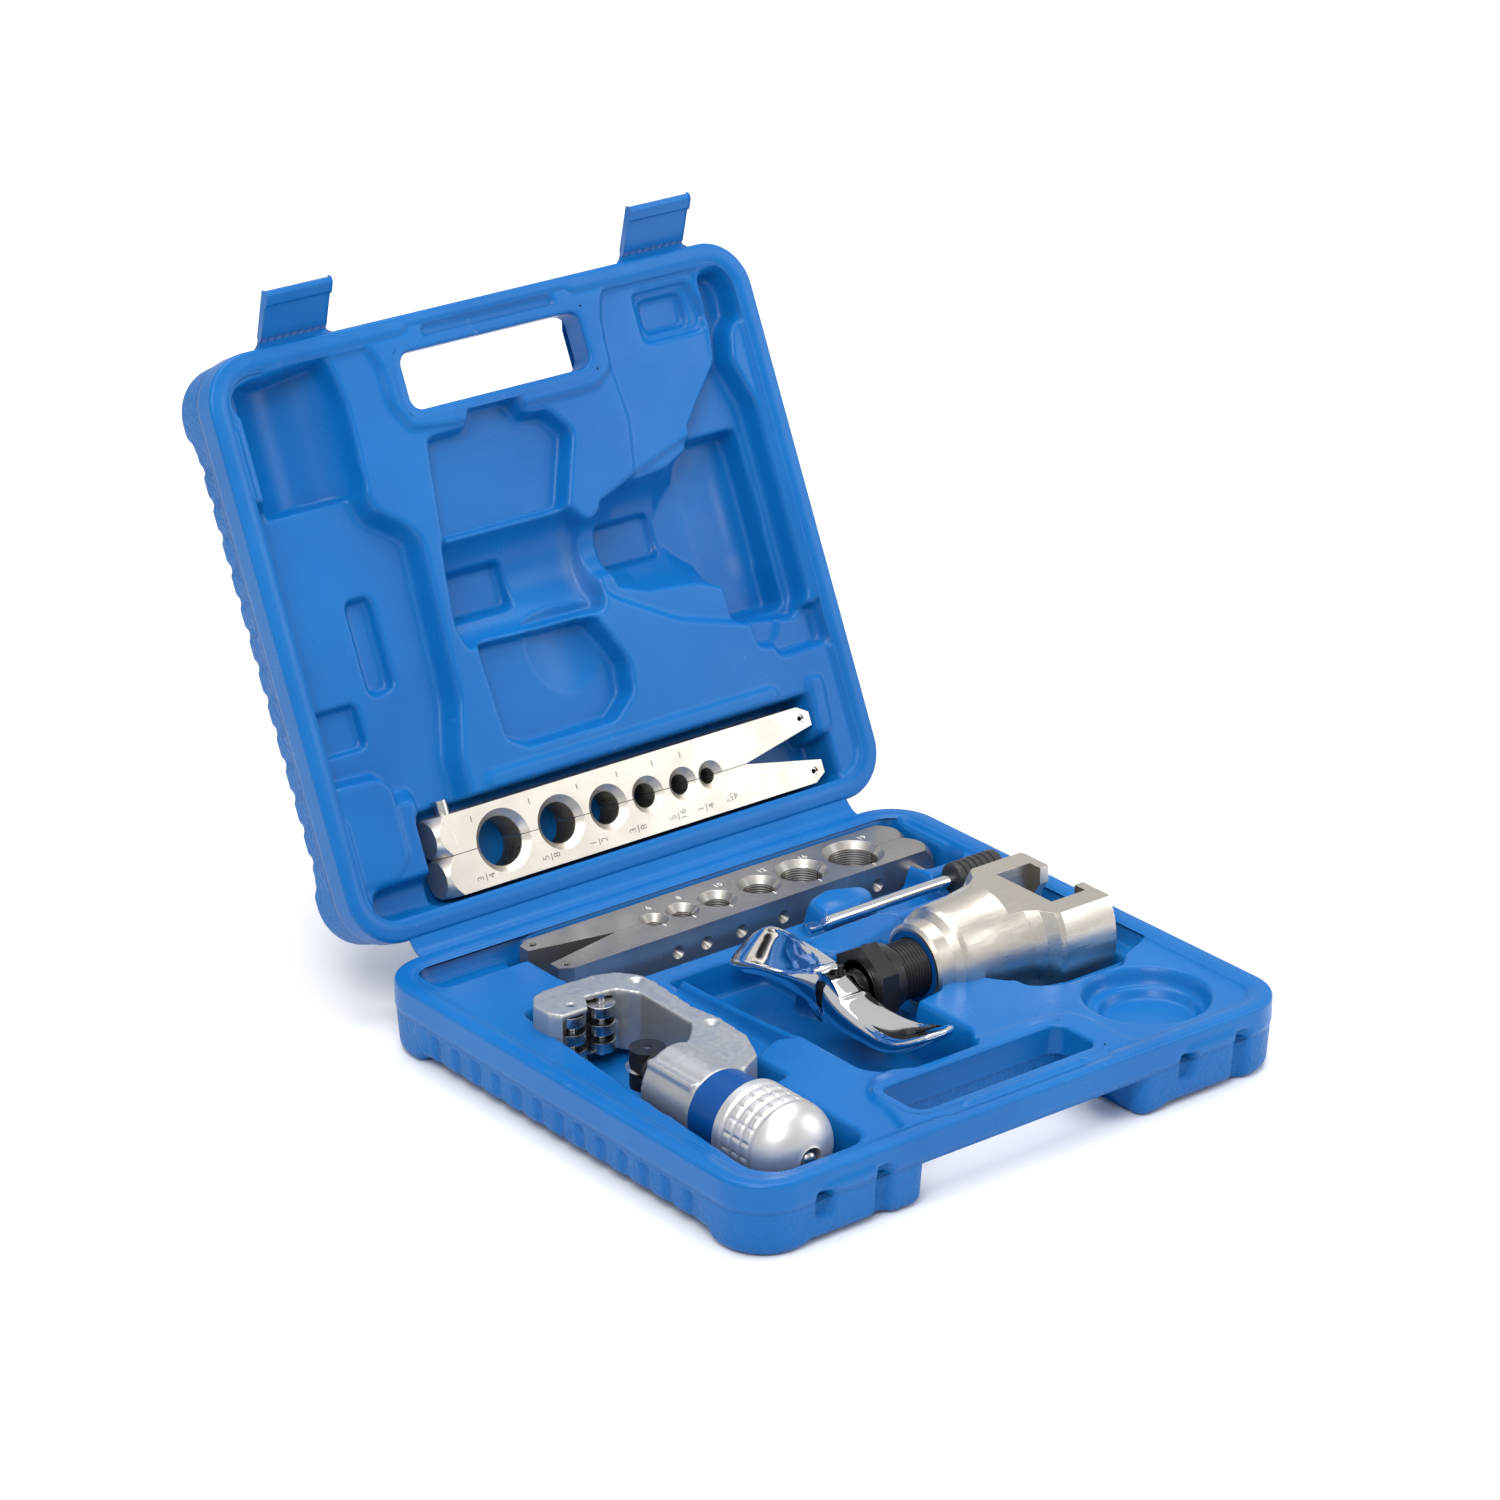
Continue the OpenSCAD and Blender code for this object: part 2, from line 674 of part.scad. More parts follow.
module deburrer_grip() {
    color(black_oxide) deburr_place() about_x() difference() {
        translate([0, 0, deburr_grip_x]) cylinder(h = deburr_grip_len, r = deburr_grip_r);
        translate([0, 0, deburr_grip_x - 1]) cylinder(h = 13, r = deburr_rod_r);
    }
}

base_shell();
base_tray();
hinge_web();
lid_shell();
lid_tray();
latch_left();
latch_right();
inch_bar_fixed_jaw();
inch_bar_sliding_jaw();
inch_bar_guide_pin();
inch_bar_fixed_tail_pin();
inch_bar_sliding_tail_pin();
metric_bar_fixed_jaw();
metric_bar_sliding_jaw();
metric_bar_guide_pin();
metric_bar_fixed_tail_pin();
metric_bar_sliding_tail_pin();
yoke_body();
yoke_bush();
feed_screw();
lock_nut();
clutch_washer();
cone_race();
cone_balls();
flaring_cone();
screw_handle();
handle_pin();
cutter_frame();
cutter_sleeve();
roller_pins();
outer_rollers();
inner_rollers();
wheel_carriage();
cutting_wheel();
wheel_pin();
cutter_screw();
cutter_knob();
knob_screw();
deburrer_blade();
deburrer_grip();
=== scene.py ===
"""A tube flaring kit in its open carrying case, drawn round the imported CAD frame.

The case's parts are drawn in millimetres from the rim plane, as if the case
were shut: x runs along the hinge, y from the grip to the hinge, and z is 0 at
the rim. BASE and LID then put them where the frame has the two halves.
"""
import json
import math

import bmesh
import bpy
import numpy as np
from mathutils import Matrix, Vector


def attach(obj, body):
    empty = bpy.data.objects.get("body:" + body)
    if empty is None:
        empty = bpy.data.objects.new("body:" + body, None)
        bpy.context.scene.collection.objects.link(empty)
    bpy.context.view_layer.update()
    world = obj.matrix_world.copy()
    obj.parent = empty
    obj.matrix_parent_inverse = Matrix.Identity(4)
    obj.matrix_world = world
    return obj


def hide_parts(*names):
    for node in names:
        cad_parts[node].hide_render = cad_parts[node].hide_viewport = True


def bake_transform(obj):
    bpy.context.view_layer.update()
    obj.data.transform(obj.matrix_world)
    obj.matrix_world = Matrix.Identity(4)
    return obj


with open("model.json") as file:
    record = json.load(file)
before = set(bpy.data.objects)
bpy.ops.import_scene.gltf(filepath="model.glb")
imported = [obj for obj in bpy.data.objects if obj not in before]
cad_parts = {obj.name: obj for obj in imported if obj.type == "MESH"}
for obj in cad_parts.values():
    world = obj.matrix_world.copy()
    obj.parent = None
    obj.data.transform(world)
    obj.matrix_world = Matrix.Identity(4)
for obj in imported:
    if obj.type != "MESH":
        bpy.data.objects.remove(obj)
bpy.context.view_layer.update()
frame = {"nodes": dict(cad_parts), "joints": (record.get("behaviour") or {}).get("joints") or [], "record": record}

MM = 0.001
JOINTS = {j["name"]: j for j in frame["joints"]}
HINGE = Vector(JOINTS["lid_hinge"]["pos_m"])
OPEN = math.radians(JOINTS["lid_hinge"]["range_deg"][0])
BASE = Matrix.Translation((0, 0, HINGE.z)) @ Matrix.Scale(MM, 4)
LID = (
    Matrix.Translation(HINGE)
    @ Matrix.Rotation(OPEN, 4, "X")
    @ Matrix.Translation((0, -HINGE.y, 0))
    @ Matrix.Scale(MM, 4)
)

# ---------------------------------------------------------------- mesh tools


def linked(name, data):
    """A new object of this data, put in the scene."""
    obj = bpy.data.objects.new(name, data)
    bpy.context.scene.collection.objects.link(obj)
    return obj


def new_mesh(name, verts, faces, place=None, smooth=True):
    """A mesh object from points and faces, moved into the frame by place."""
    mesh = bpy.data.meshes.new(name)
    mesh.from_pydata([tuple(map(float, v)) for v in verts], [], [tuple(map(int, f)) for f in faces])
    if place is not None:
        mesh.transform(place)
    mesh.update()
    if smooth:
        mesh.polygons.foreach_set("use_smooth", [True] * len(mesh.polygons))
    return linked(name, mesh)


def outward(obj):
    """Turns a closed mesh's faces outwards."""
    bm = bmesh.new()
    bm.from_mesh(obj.data)
    bmesh.ops.recalc_face_normals(bm, faces=bm.faces)
    bm.to_mesh(obj.data)
    bm.free()
    return obj


def close_ends(obj):
    """Fills a mesh's open ends and turns its faces outwards."""
    bm = bmesh.new()
    bm.from_mesh(obj.data)
    bmesh.ops.holes_fill(bm, edges=[e for e in bm.edges if e.is_boundary])
    bmesh.ops.recalc_face_normals(bm, faces=bm.faces)
    bm.to_mesh(obj.data)
    bm.free()
    return obj


def finish_piece(obj, body, material, slot, *nodes):
    """Gives a piece its material and body, and says which CAD nodes it stands for."""
    obj.data.materials.clear()
    obj.data.materials.append(material)
    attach(obj, body)
    if nodes:
        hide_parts(*nodes)
    return obj


def apply_modifiers(obj):
    """Makes a piece's modifiers part of its mesh."""
    depsgraph = bpy.context.evaluated_depsgraph_get()
    mesh = bpy.data.meshes.new_from_object(obj.evaluated_get(depsgraph))
    obj.modifiers.clear()
    obj.data = mesh
    return obj


def smooth_by_angle(obj, degrees=35):
    """Smooth shading, with edges kept sharp where faces meet at more than the angle."""
    bm = bmesh.new()
    bm.from_mesh(obj.data)
    limit = math.radians(degrees)
    for edge in bm.edges:
        edge.smooth = len(edge.link_faces) == 2 and edge.calc_face_angle(0) < limit
    for face in bm.faces:
        face.smooth = True
    bm.to_mesh(obj.data)
    bm.free()
    return obj


WELD = 2e-6                     # metres within which a CAD node's points are one
COPLANAR = 1.5                  # degrees within which a CAD node's faces are one


def rounded_node(node, width, segments=2, angle=28, shade=30):
    """A copy of a CAD node, its edges sharper than the angle rounded over by the width."""
    obj = linked(node + "_rounded", frame["nodes"][node].data.copy())
    bm = bmesh.new()
    bm.from_mesh(obj.data)
    bmesh.ops.remove_doubles(bm, verts=bm.verts, dist=WELD)
    bmesh.ops.dissolve_limit(bm, angle_limit=math.radians(COPLANAR), verts=bm.verts, edges=bm.edges)
    bm.to_mesh(obj.data)
    bm.free()
    bevel = obj.modifiers.new("edge", "BEVEL")
    bevel.width = width * MM
    bevel.segments = segments
    bevel.limit_method = "ANGLE"
    bevel.angle_limit = math.radians(angle)
    bevel.use_clamp_overlap = True
    apply_modifiers(obj)
    smooth_by_angle(obj, shade)
    even = obj.modifiers.new("even", "WEIGHTED_NORMAL")
    even.mode = "FACE_AREA"
    even.weight = 50
    even.keep_sharp = True
    return apply_modifiers(obj)


def melted(obj, voxel, rounds):
    """Makes a piece one skin of this voxel size, then relaxes it for some rounds."""
    remesh = obj.modifiers.new("skin", "REMESH")
    remesh.mode = "VOXEL"
    remesh.voxel_size = voxel
    remesh.use_smooth_shade = True
    relax = obj.modifiers.new("relax", "SMOOTH")
    relax.factor = 0.5
    relax.iterations = rounds
    return apply_modifiers(obj)


def cast_node(node, voxel, rounds):
    """A copy of a CAD node with all its edges melted, as a casting's are."""
    return melted(linked(node + "_cast", frame["nodes"][node].data.copy()), voxel * MM, rounds)


def turned_faces(steps, n):
    """The faces between neighbouring profiles of n points, all the way round."""
    faces = []
    for k in range(steps):
        for i in range(n - 1):
            a, b = k * n + i, (k + 1) % steps * n + i
            faces.append((a, b, b + 1, a + 1))
    return faces


def ring_faces(rings, n):
    """The faces between neighbouring closed rings of n points."""
    faces = []
    for r in range(rings - 1):
        for i in range(n):
            j = (i + 1) % n
            faces.append((r * n + i, r * n + j, (r + 1) * n + j, (r + 1) * n + i))
    return faces


def lathe(name, profile, steps, place, close=True):
    """Turns a profile of (along, radius) points about X."""
    verts = []
    for k in range(steps):
        a = 2 * math.pi * k / steps
        verts += [(x, r * math.cos(a), r * math.sin(a)) for x, r in profile]
    n = len(profile)
    faces = turned_faces(steps, n)
    if close:
        faces.append([k * n for k in range(steps)])
        faces.append([k * n + n - 1 for k in range(steps)][::-1])
    return outward(new_mesh(name, verts, faces, place))


def arc(cx, cy, r, a0, a1, steps=6):
    """Points on an arc from angle a0 to a1, in degrees."""
    return [
        (cx + r * math.cos(math.radians(a0 + (a1 - a0) * i / steps)),
         cy + r * math.sin(math.radians(a0 + (a1 - a0) * i / steps)))
        for i in range(steps + 1)
    ]


def outline(corners, step=1.2, arc_steps=10):
    """Points and outward normals round a closed outline of (x, y, radius) corners."""
    rounds = []
    n = len(corners)
    for i in range(n):
        before, here, after = (Vector(corners[j % n][:2]) for j in (i - 1, i, i + 1))
        radius = corners[i][2]
        d0, d1 = (here - before).normalized(), (after - here).normalized()
        side = 1 if d0.x * d1.y - d0.y * d1.x > 0 else -1
        half = (math.pi - d0.angle(d1)) / 2
        centre = here + (d1 - d0).normalized() * (radius / math.sin(half))
        n0, n1 = Vector((d0.y, -d0.x)), Vector((d1.y, -d1.x))
        ring = []
        for k in range(arc_steps + 1):
            normal = n0.slerp(n1, k / arc_steps)
            ring.append((centre + normal * side * radius, normal))
        rounds.append(ring)
    points, normals = [], []
    for i, ring in enumerate(rounds):
        points += [p for p, _ in ring]
        normals += [q for _, q in ring]
        a, b = ring[-1], rounds[(i + 1) % n][0]
        count = max(1, int((b[0] - a[0]).length / step))
        for k in range(1, count):
            points.append(a[0].lerp(b[0], k / count))
            normals.append(a[1])
    return np.array([p[:] for p in points]), np.array([q[:] for q in normals])


def loft(name, rings):
    """Joins closed rings of 3D points, each as long as the last."""
    return new_mesh(name, np.concatenate(rings), ring_faces(len(rings), len(rings[0])))


def smoothstep(a, b, x):
    """0 at a, 1 at b, with a smooth run between."""
    t = np.clip((x - a) / (b - a), 0, 1)
    return t * t * (3 - 2 * t)


def band(a, b, soft, x):
    """1 between a and b, falling to 0 over soft at each end."""
    return smoothstep(a - soft / 2, a + soft / 2, x) * (1 - smoothstep(b - soft / 2, b + soft / 2, x))


# ------------------------------------------------------------- material tools


class Nodes:
    """A short way to write a node tree."""

    def __init__(self, name):
        self.material = bpy.data.materials.new(name)
        self.material.use_nodes = True
        self.tree = self.material.node_tree
        self.shader = self.tree.nodes["Principled BSDF"]
        self.position = self.tree.nodes.new("ShaderNodeTexCoord").outputs["Object"]

    def add(self, kind, inputs=(), **settings):
        node = self.tree.nodes.new("ShaderNode" + kind)
        for key, value in settings.items():
            setattr(node, key, value)
        for key, value in dict(inputs).items():
            self.join(node.inputs[key], value)
        return node

    def join(self, socket, value):
        if isinstance(value, bpy.types.NodeSocket):
            self.tree.links.new(value, socket)
        else:
            socket.default_value = value

    def stretched(self, scale):
        return self.add("Mapping", {"Vector": self.position, "Scale": scale}).outputs["Vector"]

    def noise(self, scale, detail=4.0, rough=0.55, where=None):
        return self.add(
            "TexNoise",
            {"Vector": where or self.position, "Scale": scale, "Detail": detail, "Roughness": rough},
        ).outputs["Fac"]

    def levels(self, value, low, high, to_low=0.0, to_high=1.0):
        return self.add(
            "MapRange",
            {"Value": value, "From Min": low, "From Max": high, "To Min": to_low, "To Max": to_high},
        ).outputs["Result"]

    def math(self, operation, a, b=0.0):
        node = self.add("Math", {0: a, 1: b}, operation=operation)
        return node.outputs[0]

    def mix(self, share, a, b):
        node = self.add("Mix", data_type="RGBA")
        self.join(node.inputs["Factor"], share)
        self.join(node.inputs["A"], a)
        self.join(node.inputs["B"], b)
        return node.outputs["Result"]

    def attribute(self, name):
        return self.add("Attribute", attribute_name=name).outputs["Fac"]

    def bump(self, height, strength, distance, after=None):
        inputs = {"Height": height, "Strength": strength, "Distance": distance}
        if after is not None:
            inputs["Normal"] = after
        return self.add("Bump", inputs).outputs["Normal"]

    def done(self, **sockets):
        for key, value in sockets.items():
            self.join(self.shader.inputs[key.replace("_", " ")], value)
        return self.material


def blue_plastic(name, deep, light, grain):
    """Moulded polypropylene: glossy with faint scuffs, and leather-grained where grain is painted."""
    m = Nodes(name)
    cloud = m.noise(14.0, 3.0)
    scuff = m.noise(1.0, 6.0, 0.7, m.stretched((260, 60, 260)))
    marks = m.levels(scuff, 0.62, 0.72)
    patch = m.levels(m.noise(22.0, 2.0), 0.56, 0.7)
    worn = m.math("MULTIPLY", marks, patch)
    colour = m.mix(m.levels(cloud, 0.3, 0.7), deep, light)
    pale = tuple(min(1.0, c * 0.8 + 0.22) for c in light[:3]) + (1.0,)
    stress = m.attribute("stress")
    colour = m.mix(m.math("MULTIPLY", worn, 0.25), colour, pale)
    colour = m.mix(stress, colour, pale)
    rough = m.levels(m.noise(60.0, 4.0), 0.3, 0.7, 0.26, 0.36)
    rough = m.math("ADD", rough, m.math("MULTIPLY", worn, 0.15))
    normal = m.bump(m.noise(320.0, 2.0), 0.05, 0.0006)
    if grain:
        voronoi = m.add("TexVoronoi", {"Vector": m.position, "Scale": 620.0}, feature="SMOOTH_F1")
        wrinkle = m.noise(900.0, 3.0)
        leather = m.math("ADD", voronoi.outputs["Distance"], m.math("MULTIPLY", wrinkle, 0.6))
        height = m.math("MULTIPLY", leather, m.attribute("grain"))
        normal = m.bump(height, 0.55, 0.0009, normal)
        rough = m.math("ADD", rough, m.math("MULTIPLY", m.attribute("grain"), 0.14))
    return m.done(Base_Color=colour, Roughness=rough, Normal=normal, Specular_IOR_Level=0.22)


def turned_metal(name, colour, dark, rough, axis_scale, bump=0.06, metallic=1.0):
    """Plated or turned metal with fine lines, cloudy tarnish and specks of wear."""
    m = Nodes(name)
    lines = m.noise(1.0, 5.0, 0.6, m.stretched(axis_scale))
    cloud = m.noise(70.0, 4.0)
    speck = m.levels(m.noise(900.0, 2.0), 0.66, 0.74)
    tint = m.mix(m.levels(cloud, 0.35, 0.7), colour, dark)
    tint = m.mix(m.math("MULTIPLY", speck, 0.35), tint, tuple(c * 0.55 for c in colour[:3]) + (1.0,))
    roughness = m.levels(lines, 0.3, 0.7, rough * 0.8, rough * 1.25)
    roughness = m.math("ADD", roughness, m.levels(cloud, 0.4, 0.7, 0.0, rough * 0.3))
    return m.done(
        Base_Color=tint, Metallic=metallic, Roughness=roughness, Normal=m.bump(lines, bump, 0.0004)
    )


BLUE_DEEP = (0.001, 0.098, 0.340, 1.0)
BLUE_LIGHT = (0.003, 0.128, 0.400, 1.0)
inner_blue = blue_plastic("tray_blue", BLUE_DEEP, BLUE_LIGHT, False)
outer_blue = blue_plastic("shell_blue", BLUE_DEEP, BLUE_LIGHT, True)
part_blue = blue_plastic("bush_blue", (0.001, 0.052, 0.215, 1.0), (0.002, 0.070, 0.270, 1.0), False)
nickel = turned_metal(
    "satin_nickel", (0.66, 0.615, 0.55, 1.0), (0.57, 0.53, 0.475, 1.0), 0.30, (40, 900, 900))
chrome = turned_metal(
    "bright_chrome", (0.78, 0.79, 0.81, 1.0), (0.70, 0.71, 0.74, 1.0), 0.06, (300, 300, 300), 0.02)
steel = turned_metal(
    "bright_steel", (0.60, 0.60, 0.60, 1.0), (0.45, 0.45, 0.46, 1.0), 0.22, (200, 200, 1600))
cast = turned_metal(
    "cast_silver", (0.47, 0.48, 0.485, 1.0), (0.40, 0.41, 0.42, 1.0), 0.36, (500, 500, 500), 0.12, 0.75)
knob_metal = turned_metal(
    "knob_silver", (0.62, 0.625, 0.63, 1.0), (0.585, 0.59, 0.60, 1.0), 0.36, (90, 90, 90), 0.02, 0.8)
black_metal = turned_metal(
    "black_oxide", (0.030, 0.030, 0.033, 1.0), (0.018, 0.018, 0.020, 1.0), 0.34, (200, 900, 900), 0.08, 0.6)
bore_metal = turned_metal(
    "bore_steel", (0.30, 0.28, 0.26, 1.0), (0.20, 0.19, 0.18, 1.0), 0.30, (300, 300, 2000))


def grip_plastic():
    """The deburrer's dull black moulding."""
    m = Nodes("black_grip")
    rough = m.levels(m.noise(200.0, 3.0), 0.3, 0.7, 0.42, 0.58)
    tint = m.mix(m.noise(40.0), (0.012, 0.012, 0.014, 1.0), (0.028, 0.028, 0.030, 1.0))
    return m.done(Base_Color=tint, Roughness=rough, Normal=m.bump(m.noise(700.0), 0.15, 0.0004))


black_plastic = grip_plastic()


def marking(name, colour, worn):
    """Etched marks, a little worn."""
    m = Nodes(name)
    tint = m.mix(m.levels(m.noise(700.0, 3.0), 0.45, 0.75), colour, worn)
    return m.done(Base_Color=tint, Roughness=m.levels(m.noise(300.0), 0.3, 0.7, 0.45, 0.6))


def bar_metal(name, colour, dark):
    """Ground and plated bar steel: fine lines along the bar, faint scratches and tarnish."""
    m = Nodes(name)
    lines = m.noise(1.0, 5.0, 0.6, m.stretched((70, 1400, 1400)))
    scratch = m.levels(m.noise(1.0, 3.0, 0.5, m.stretched((500, 60, 60))), 0.66, 0.70)
    cloud = m.noise(45.0, 4.0)
    tint = m.mix(m.levels(cloud, 0.35, 0.7), colour, dark)
    tint = m.mix(m.math("MULTIPLY", scratch, 0.2), tint, (0.85, 0.82, 0.78, 1.0))
    rough = m.math("ADD", m.levels(lines, 0.3, 0.7, 0.26, 0.36), m.levels(cloud, 0.4, 0.7, 0.0, 0.08))
    height = m.math("ADD", lines, m.math("MULTIPLY", scratch, 0.3))
    return m.done(Base_Color=tint, Metallic=0.92, Roughness=rough, Normal=m.bump(height, 0.08, 0.0004))


# ---------------------------------------------------------------- case shells

WIDTH, DEPTH = 250.0, 224.0
CORNER = 20.0                   # radius of the case's corners
HEIGHT = 29.0                   # each half, rim to feet
BAND = 10.5                     # smooth band below the rim
SLOT = (-41.0, 42.0, -98.0, -76.0)      # the grip's opening: x0, x1, y0, y1
NOTCH = (-46.5, 50.0)           # hollow between the front feet
GRIP_DEPTH = 12.0               # how far the grip reaches below the rim


def box_corners(x0, x1, y0, y1, r):
    """A rectangle's corners for outline(), all of one radius."""
    return [(x0, y0, r), (x1, y0, r), (x1, y1, r), (x0, y1, r)]


def bottom_lift(points):
    """How far the bottom edge stands above the feet at the corners."""
    x, y = points[:, 0], points[:, 1]
    on_side = np.abs(np.abs(x) - WIDTH / 2) < 0.6
    on_back = np.abs(y - DEPTH / 2) < 0.6
    along_side = on_side * band(-86.0, 86.0, 5.0, y)
    along_back = on_back * band(-100.0, 100.0, 5.0, x)
    along_front = (y < -DEPTH / 2 + 0.6) * (band(-100, -62, 5.0, x) + band(64, 100, 5.0, x))
    return 3.4 * (along_side + along_back) + 1.4 * along_front


def shell_relief(points, z, keepers):
    """How far the outer wall is pressed in at each point of a ring at height z."""
    x, y = points[:, 0], points[:, 1]
    inset = np.zeros(len(x))
    on_side = (np.abs(np.abs(x) - WIDTH / 2) < 0.6)
    pitch = 12.4
    flute = np.abs((y / pitch + 0.5) % 1 - 0.5) * pitch
    groove = 1 - smoothstep(0.8, 3.0, flute)
    reach = band(-81.5, 81.5, 2.0, y) * (1 - smoothstep(-BAND - 4.0, -BAND - 2.0, z))
    inset += on_side * (groove * reach * 1.3 + reach * 0.5)
    on_front = np.abs(y + DEPTH / 2) < 0.6
    for middle in LATCH_X if keepers else ():
        x0, x1 = middle - 13.0, middle + 9.0
        ledge = band(x0, x1, 2.0, x) * band(-9.6, -5.6, 1.2, z)
        dish = band(x0 - 3.0, x0 + 3.5, 2.6, x) * band(-18.0, -8.5, 3.0, z)
        groove = band(x1 + 1.6, x1 + 7.0, 3.2, x) * (1 - smoothstep(-9.0, -6.0, z))
        inset += on_front * (3.2 * dish + 3.0 * groove - 1.0 * ledge)
    return inset


LATCH_X = [-80.5, 86.0]
GRIP = (-36.0, 40.0)            # where the rim widens into the grip's land
PARTING = 0.12                  # each rim's gap to the plane where the halves meet


def rim_profile():
    """(inset, height) from the rim's inner edge over its outer round and down the smooth band."""
    profile = [(8.4, -1.0), (7.5, -0.6), (7.0, -PARTING), (4.0, -PARTING)]
    profile += [(1.6 + p[0], p[1] - PARTING) for p in arc(0, -1.6, 1.6, 90, 180)]
    profile += [(0.1 * t, -1.8 - t * (BAND - 2.4)) for t in np.linspace(0, 1, 10)]
    profile += [(0.35, -BAND), (0.5, -BAND - 0.8)]
    return profile


def tag(obj, name, values):
    """Stores a value at each point, for the materials to read."""
    layer = obj.data.attributes.new(name, "FLOAT", "POINT")
    layer.data.foreach_set("value", np.asarray(values, np.float32))


def ring(points, normals, inset, z):
    """A closed ring of an outline's points, moved inwards by inset, at height z."""
    flat = points - normals * np.reshape(inset, (-1, 1))
    return np.column_stack([flat, np.full(len(flat), z)])


def rim_rings(keepers):
    """The rim, the smooth band below it and the wall down to the grip's underside."""
    full, full_n = outline(box_corners(-WIDTH / 2, WIDTH / 2, -DEPTH / 2, DEPTH / 2, CORNER), 1.1, 16)
    rings = []
    narrow = 1 - 0.3 * (full[:, 1] < -DEPTH / 2 + 0.6) * band(*GRIP, 4.0, full[:, 0])
    for inset, z in rim_profile():
        relief = shell_relief(full, z, keepers) if inset < 0.6 else 0.0
        rings.append(ring(full, full_n, inset * (narrow if z > -1.1 else 1.0) + relief * (z < -1.7), z))
    for z in np.arange(-BAND - 1.4, -GRIP_DEPTH - 0.1, -0.7):
        rings.append(ring(full, full_n, 0.5 + shell_relief(full, z, keepers), z))
    rings.append(ring(full, full_n, 1.6, -GRIP_DEPTH))
    rings.append(ring(full, full_n, 5.0, -GRIP_DEPTH))
    return rings


def lower_outline():
    """The lower wall's points and normals, going in round the grip between the front feet."""
    x0, x1 = NOTCH
    corners = [
        (-WIDTH / 2, -DEPTH / 2, CORNER), (x0, -DEPTH / 2, 7.0), (x0, SLOT[3], 5.0), (x1, SLOT[3], 5.0),
        (x1, -DEPTH / 2, 7.0), (WIDTH / 2, -DEPTH / 2, CORNER), (WIDTH / 2, DEPTH / 2, CORNER),
        (-WIDTH / 2, DEPTH / 2, CORNER),
    ]
    return outline(corners, 1.1, 14)


def lower_rings(low, low_n, lift, keepers):
    """The fluted lower wall and its round down to the feet."""
    round_r = 5.0
    rings = [ring(low, low_n, 3.0, -GRIP_DEPTH + 1.5)]
    for t in np.linspace(0, 1, 22):
        z = -GRIP_DEPTH + 1.0 - t * (HEIGHT + 1.0 - GRIP_DEPTH - round_r - lift)
        rings.append(ring(low, low_n, 0.5 + 0.9 * t + shell_relief(low, z, keepers), z))
    for a in range(9, 91, 9):
        turn = math.radians(a)
        z = -HEIGHT + lift + round_r - round_r * math.sin(turn)
        relief = shell_relief(low, z, keepers) * math.cos(turn)
        rings.append(ring(low, low_n, 1.4 + round_r * (1 - math.cos(turn)) + relief, z))
    return rings


def slot_rings():
    """The walls of the grip's opening."""
    slot, slot_n = outline(box_corners(*SLOT, 5.0), 1.2, 8)
    lip = [(-4.0, -0.08)] + [(-1.4 + p[0], p[1] - 0.08) for p in arc(0, -1.4, 1.4, 90, 0)]
    rings = [ring(slot, slot_n, i, z) for i, z in lip]
    rings += [ring(slot, slot_n, 0.0, z) for z in np.arange(-2.2, -GRIP_DEPTH, -1.0)]
    rings += [ring(slot, slot_n, -0.8, -GRIP_DEPTH), ring(slot, slot_n, -6.0, -GRIP_DEPTH)]
    return rings


def shell(name, place, body, node, flip):
    """One half's outer skin: rim band, fluted lower wall with feet, grip and bottom."""
    low, low_n = lower_outline()
    lift = bottom_lift(low)
    parts = [rim_rings(not flip), lower_rings(low, low_n, lift, not flip), slot_rings()]
    objs = [loft(f"{name}_{k}", rings) for k, rings in enumerate(parts)]
    objs.append(flat_between(f"{name}_under", box_corners(
        NOTCH[0] - 8, NOTCH[1] + 8, -DEPTH / 2 + 3.5, SLOT[3] + 2.0, 1.0), -GRIP_DEPTH - 0.01))
    objs.append(bottom_face(f"{name}_bottom", low - low_n * 6.4, -HEIGHT + lift))
    obj = join(name, objs)
    z = np.array([v.co.z for v in obj.data.vertices])
    tag(obj, "grain", 1 - smoothstep(-BAND - 1.2, -BAND + 0.3, z))
    tag(obj, "stress", np.zeros(len(z)))
    if flip:
        obj.data.transform(Matrix.Scale(-1, 4, (0, 0, 1)))
        obj.data.flip_normals()
    obj.data.transform(place)
    return finish_piece(obj, body, outer_blue, "case_blue", node)


def flat_between(name, corners, z):
    """A flat face inside an outline, with the slot's hole in it."""
    outer, _ = outline(corners, 4.0, 2)
    inner, _ = outline(box_corners(SLOT[0] - 0.9, SLOT[1] + 0.9, SLOT[2] - 0.9, SLOT[3] + 0.9, 5.9), 1.2, 8)
    bm = bmesh.new()
    edges = []
    for loop in (outer, inner):
        vs = [bm.verts.new((p[0], p[1], z)) for p in loop]
        edges += [bm.edges.new((vs[i], vs[(i + 1) % len(vs)])) for i in range(len(vs))]
    bmesh.ops.triangle_fill(bm, use_beauty=True, use_dissolve=False, edges=edges, normal=(0, 0, -1))
    return from_bmesh(name, bm)


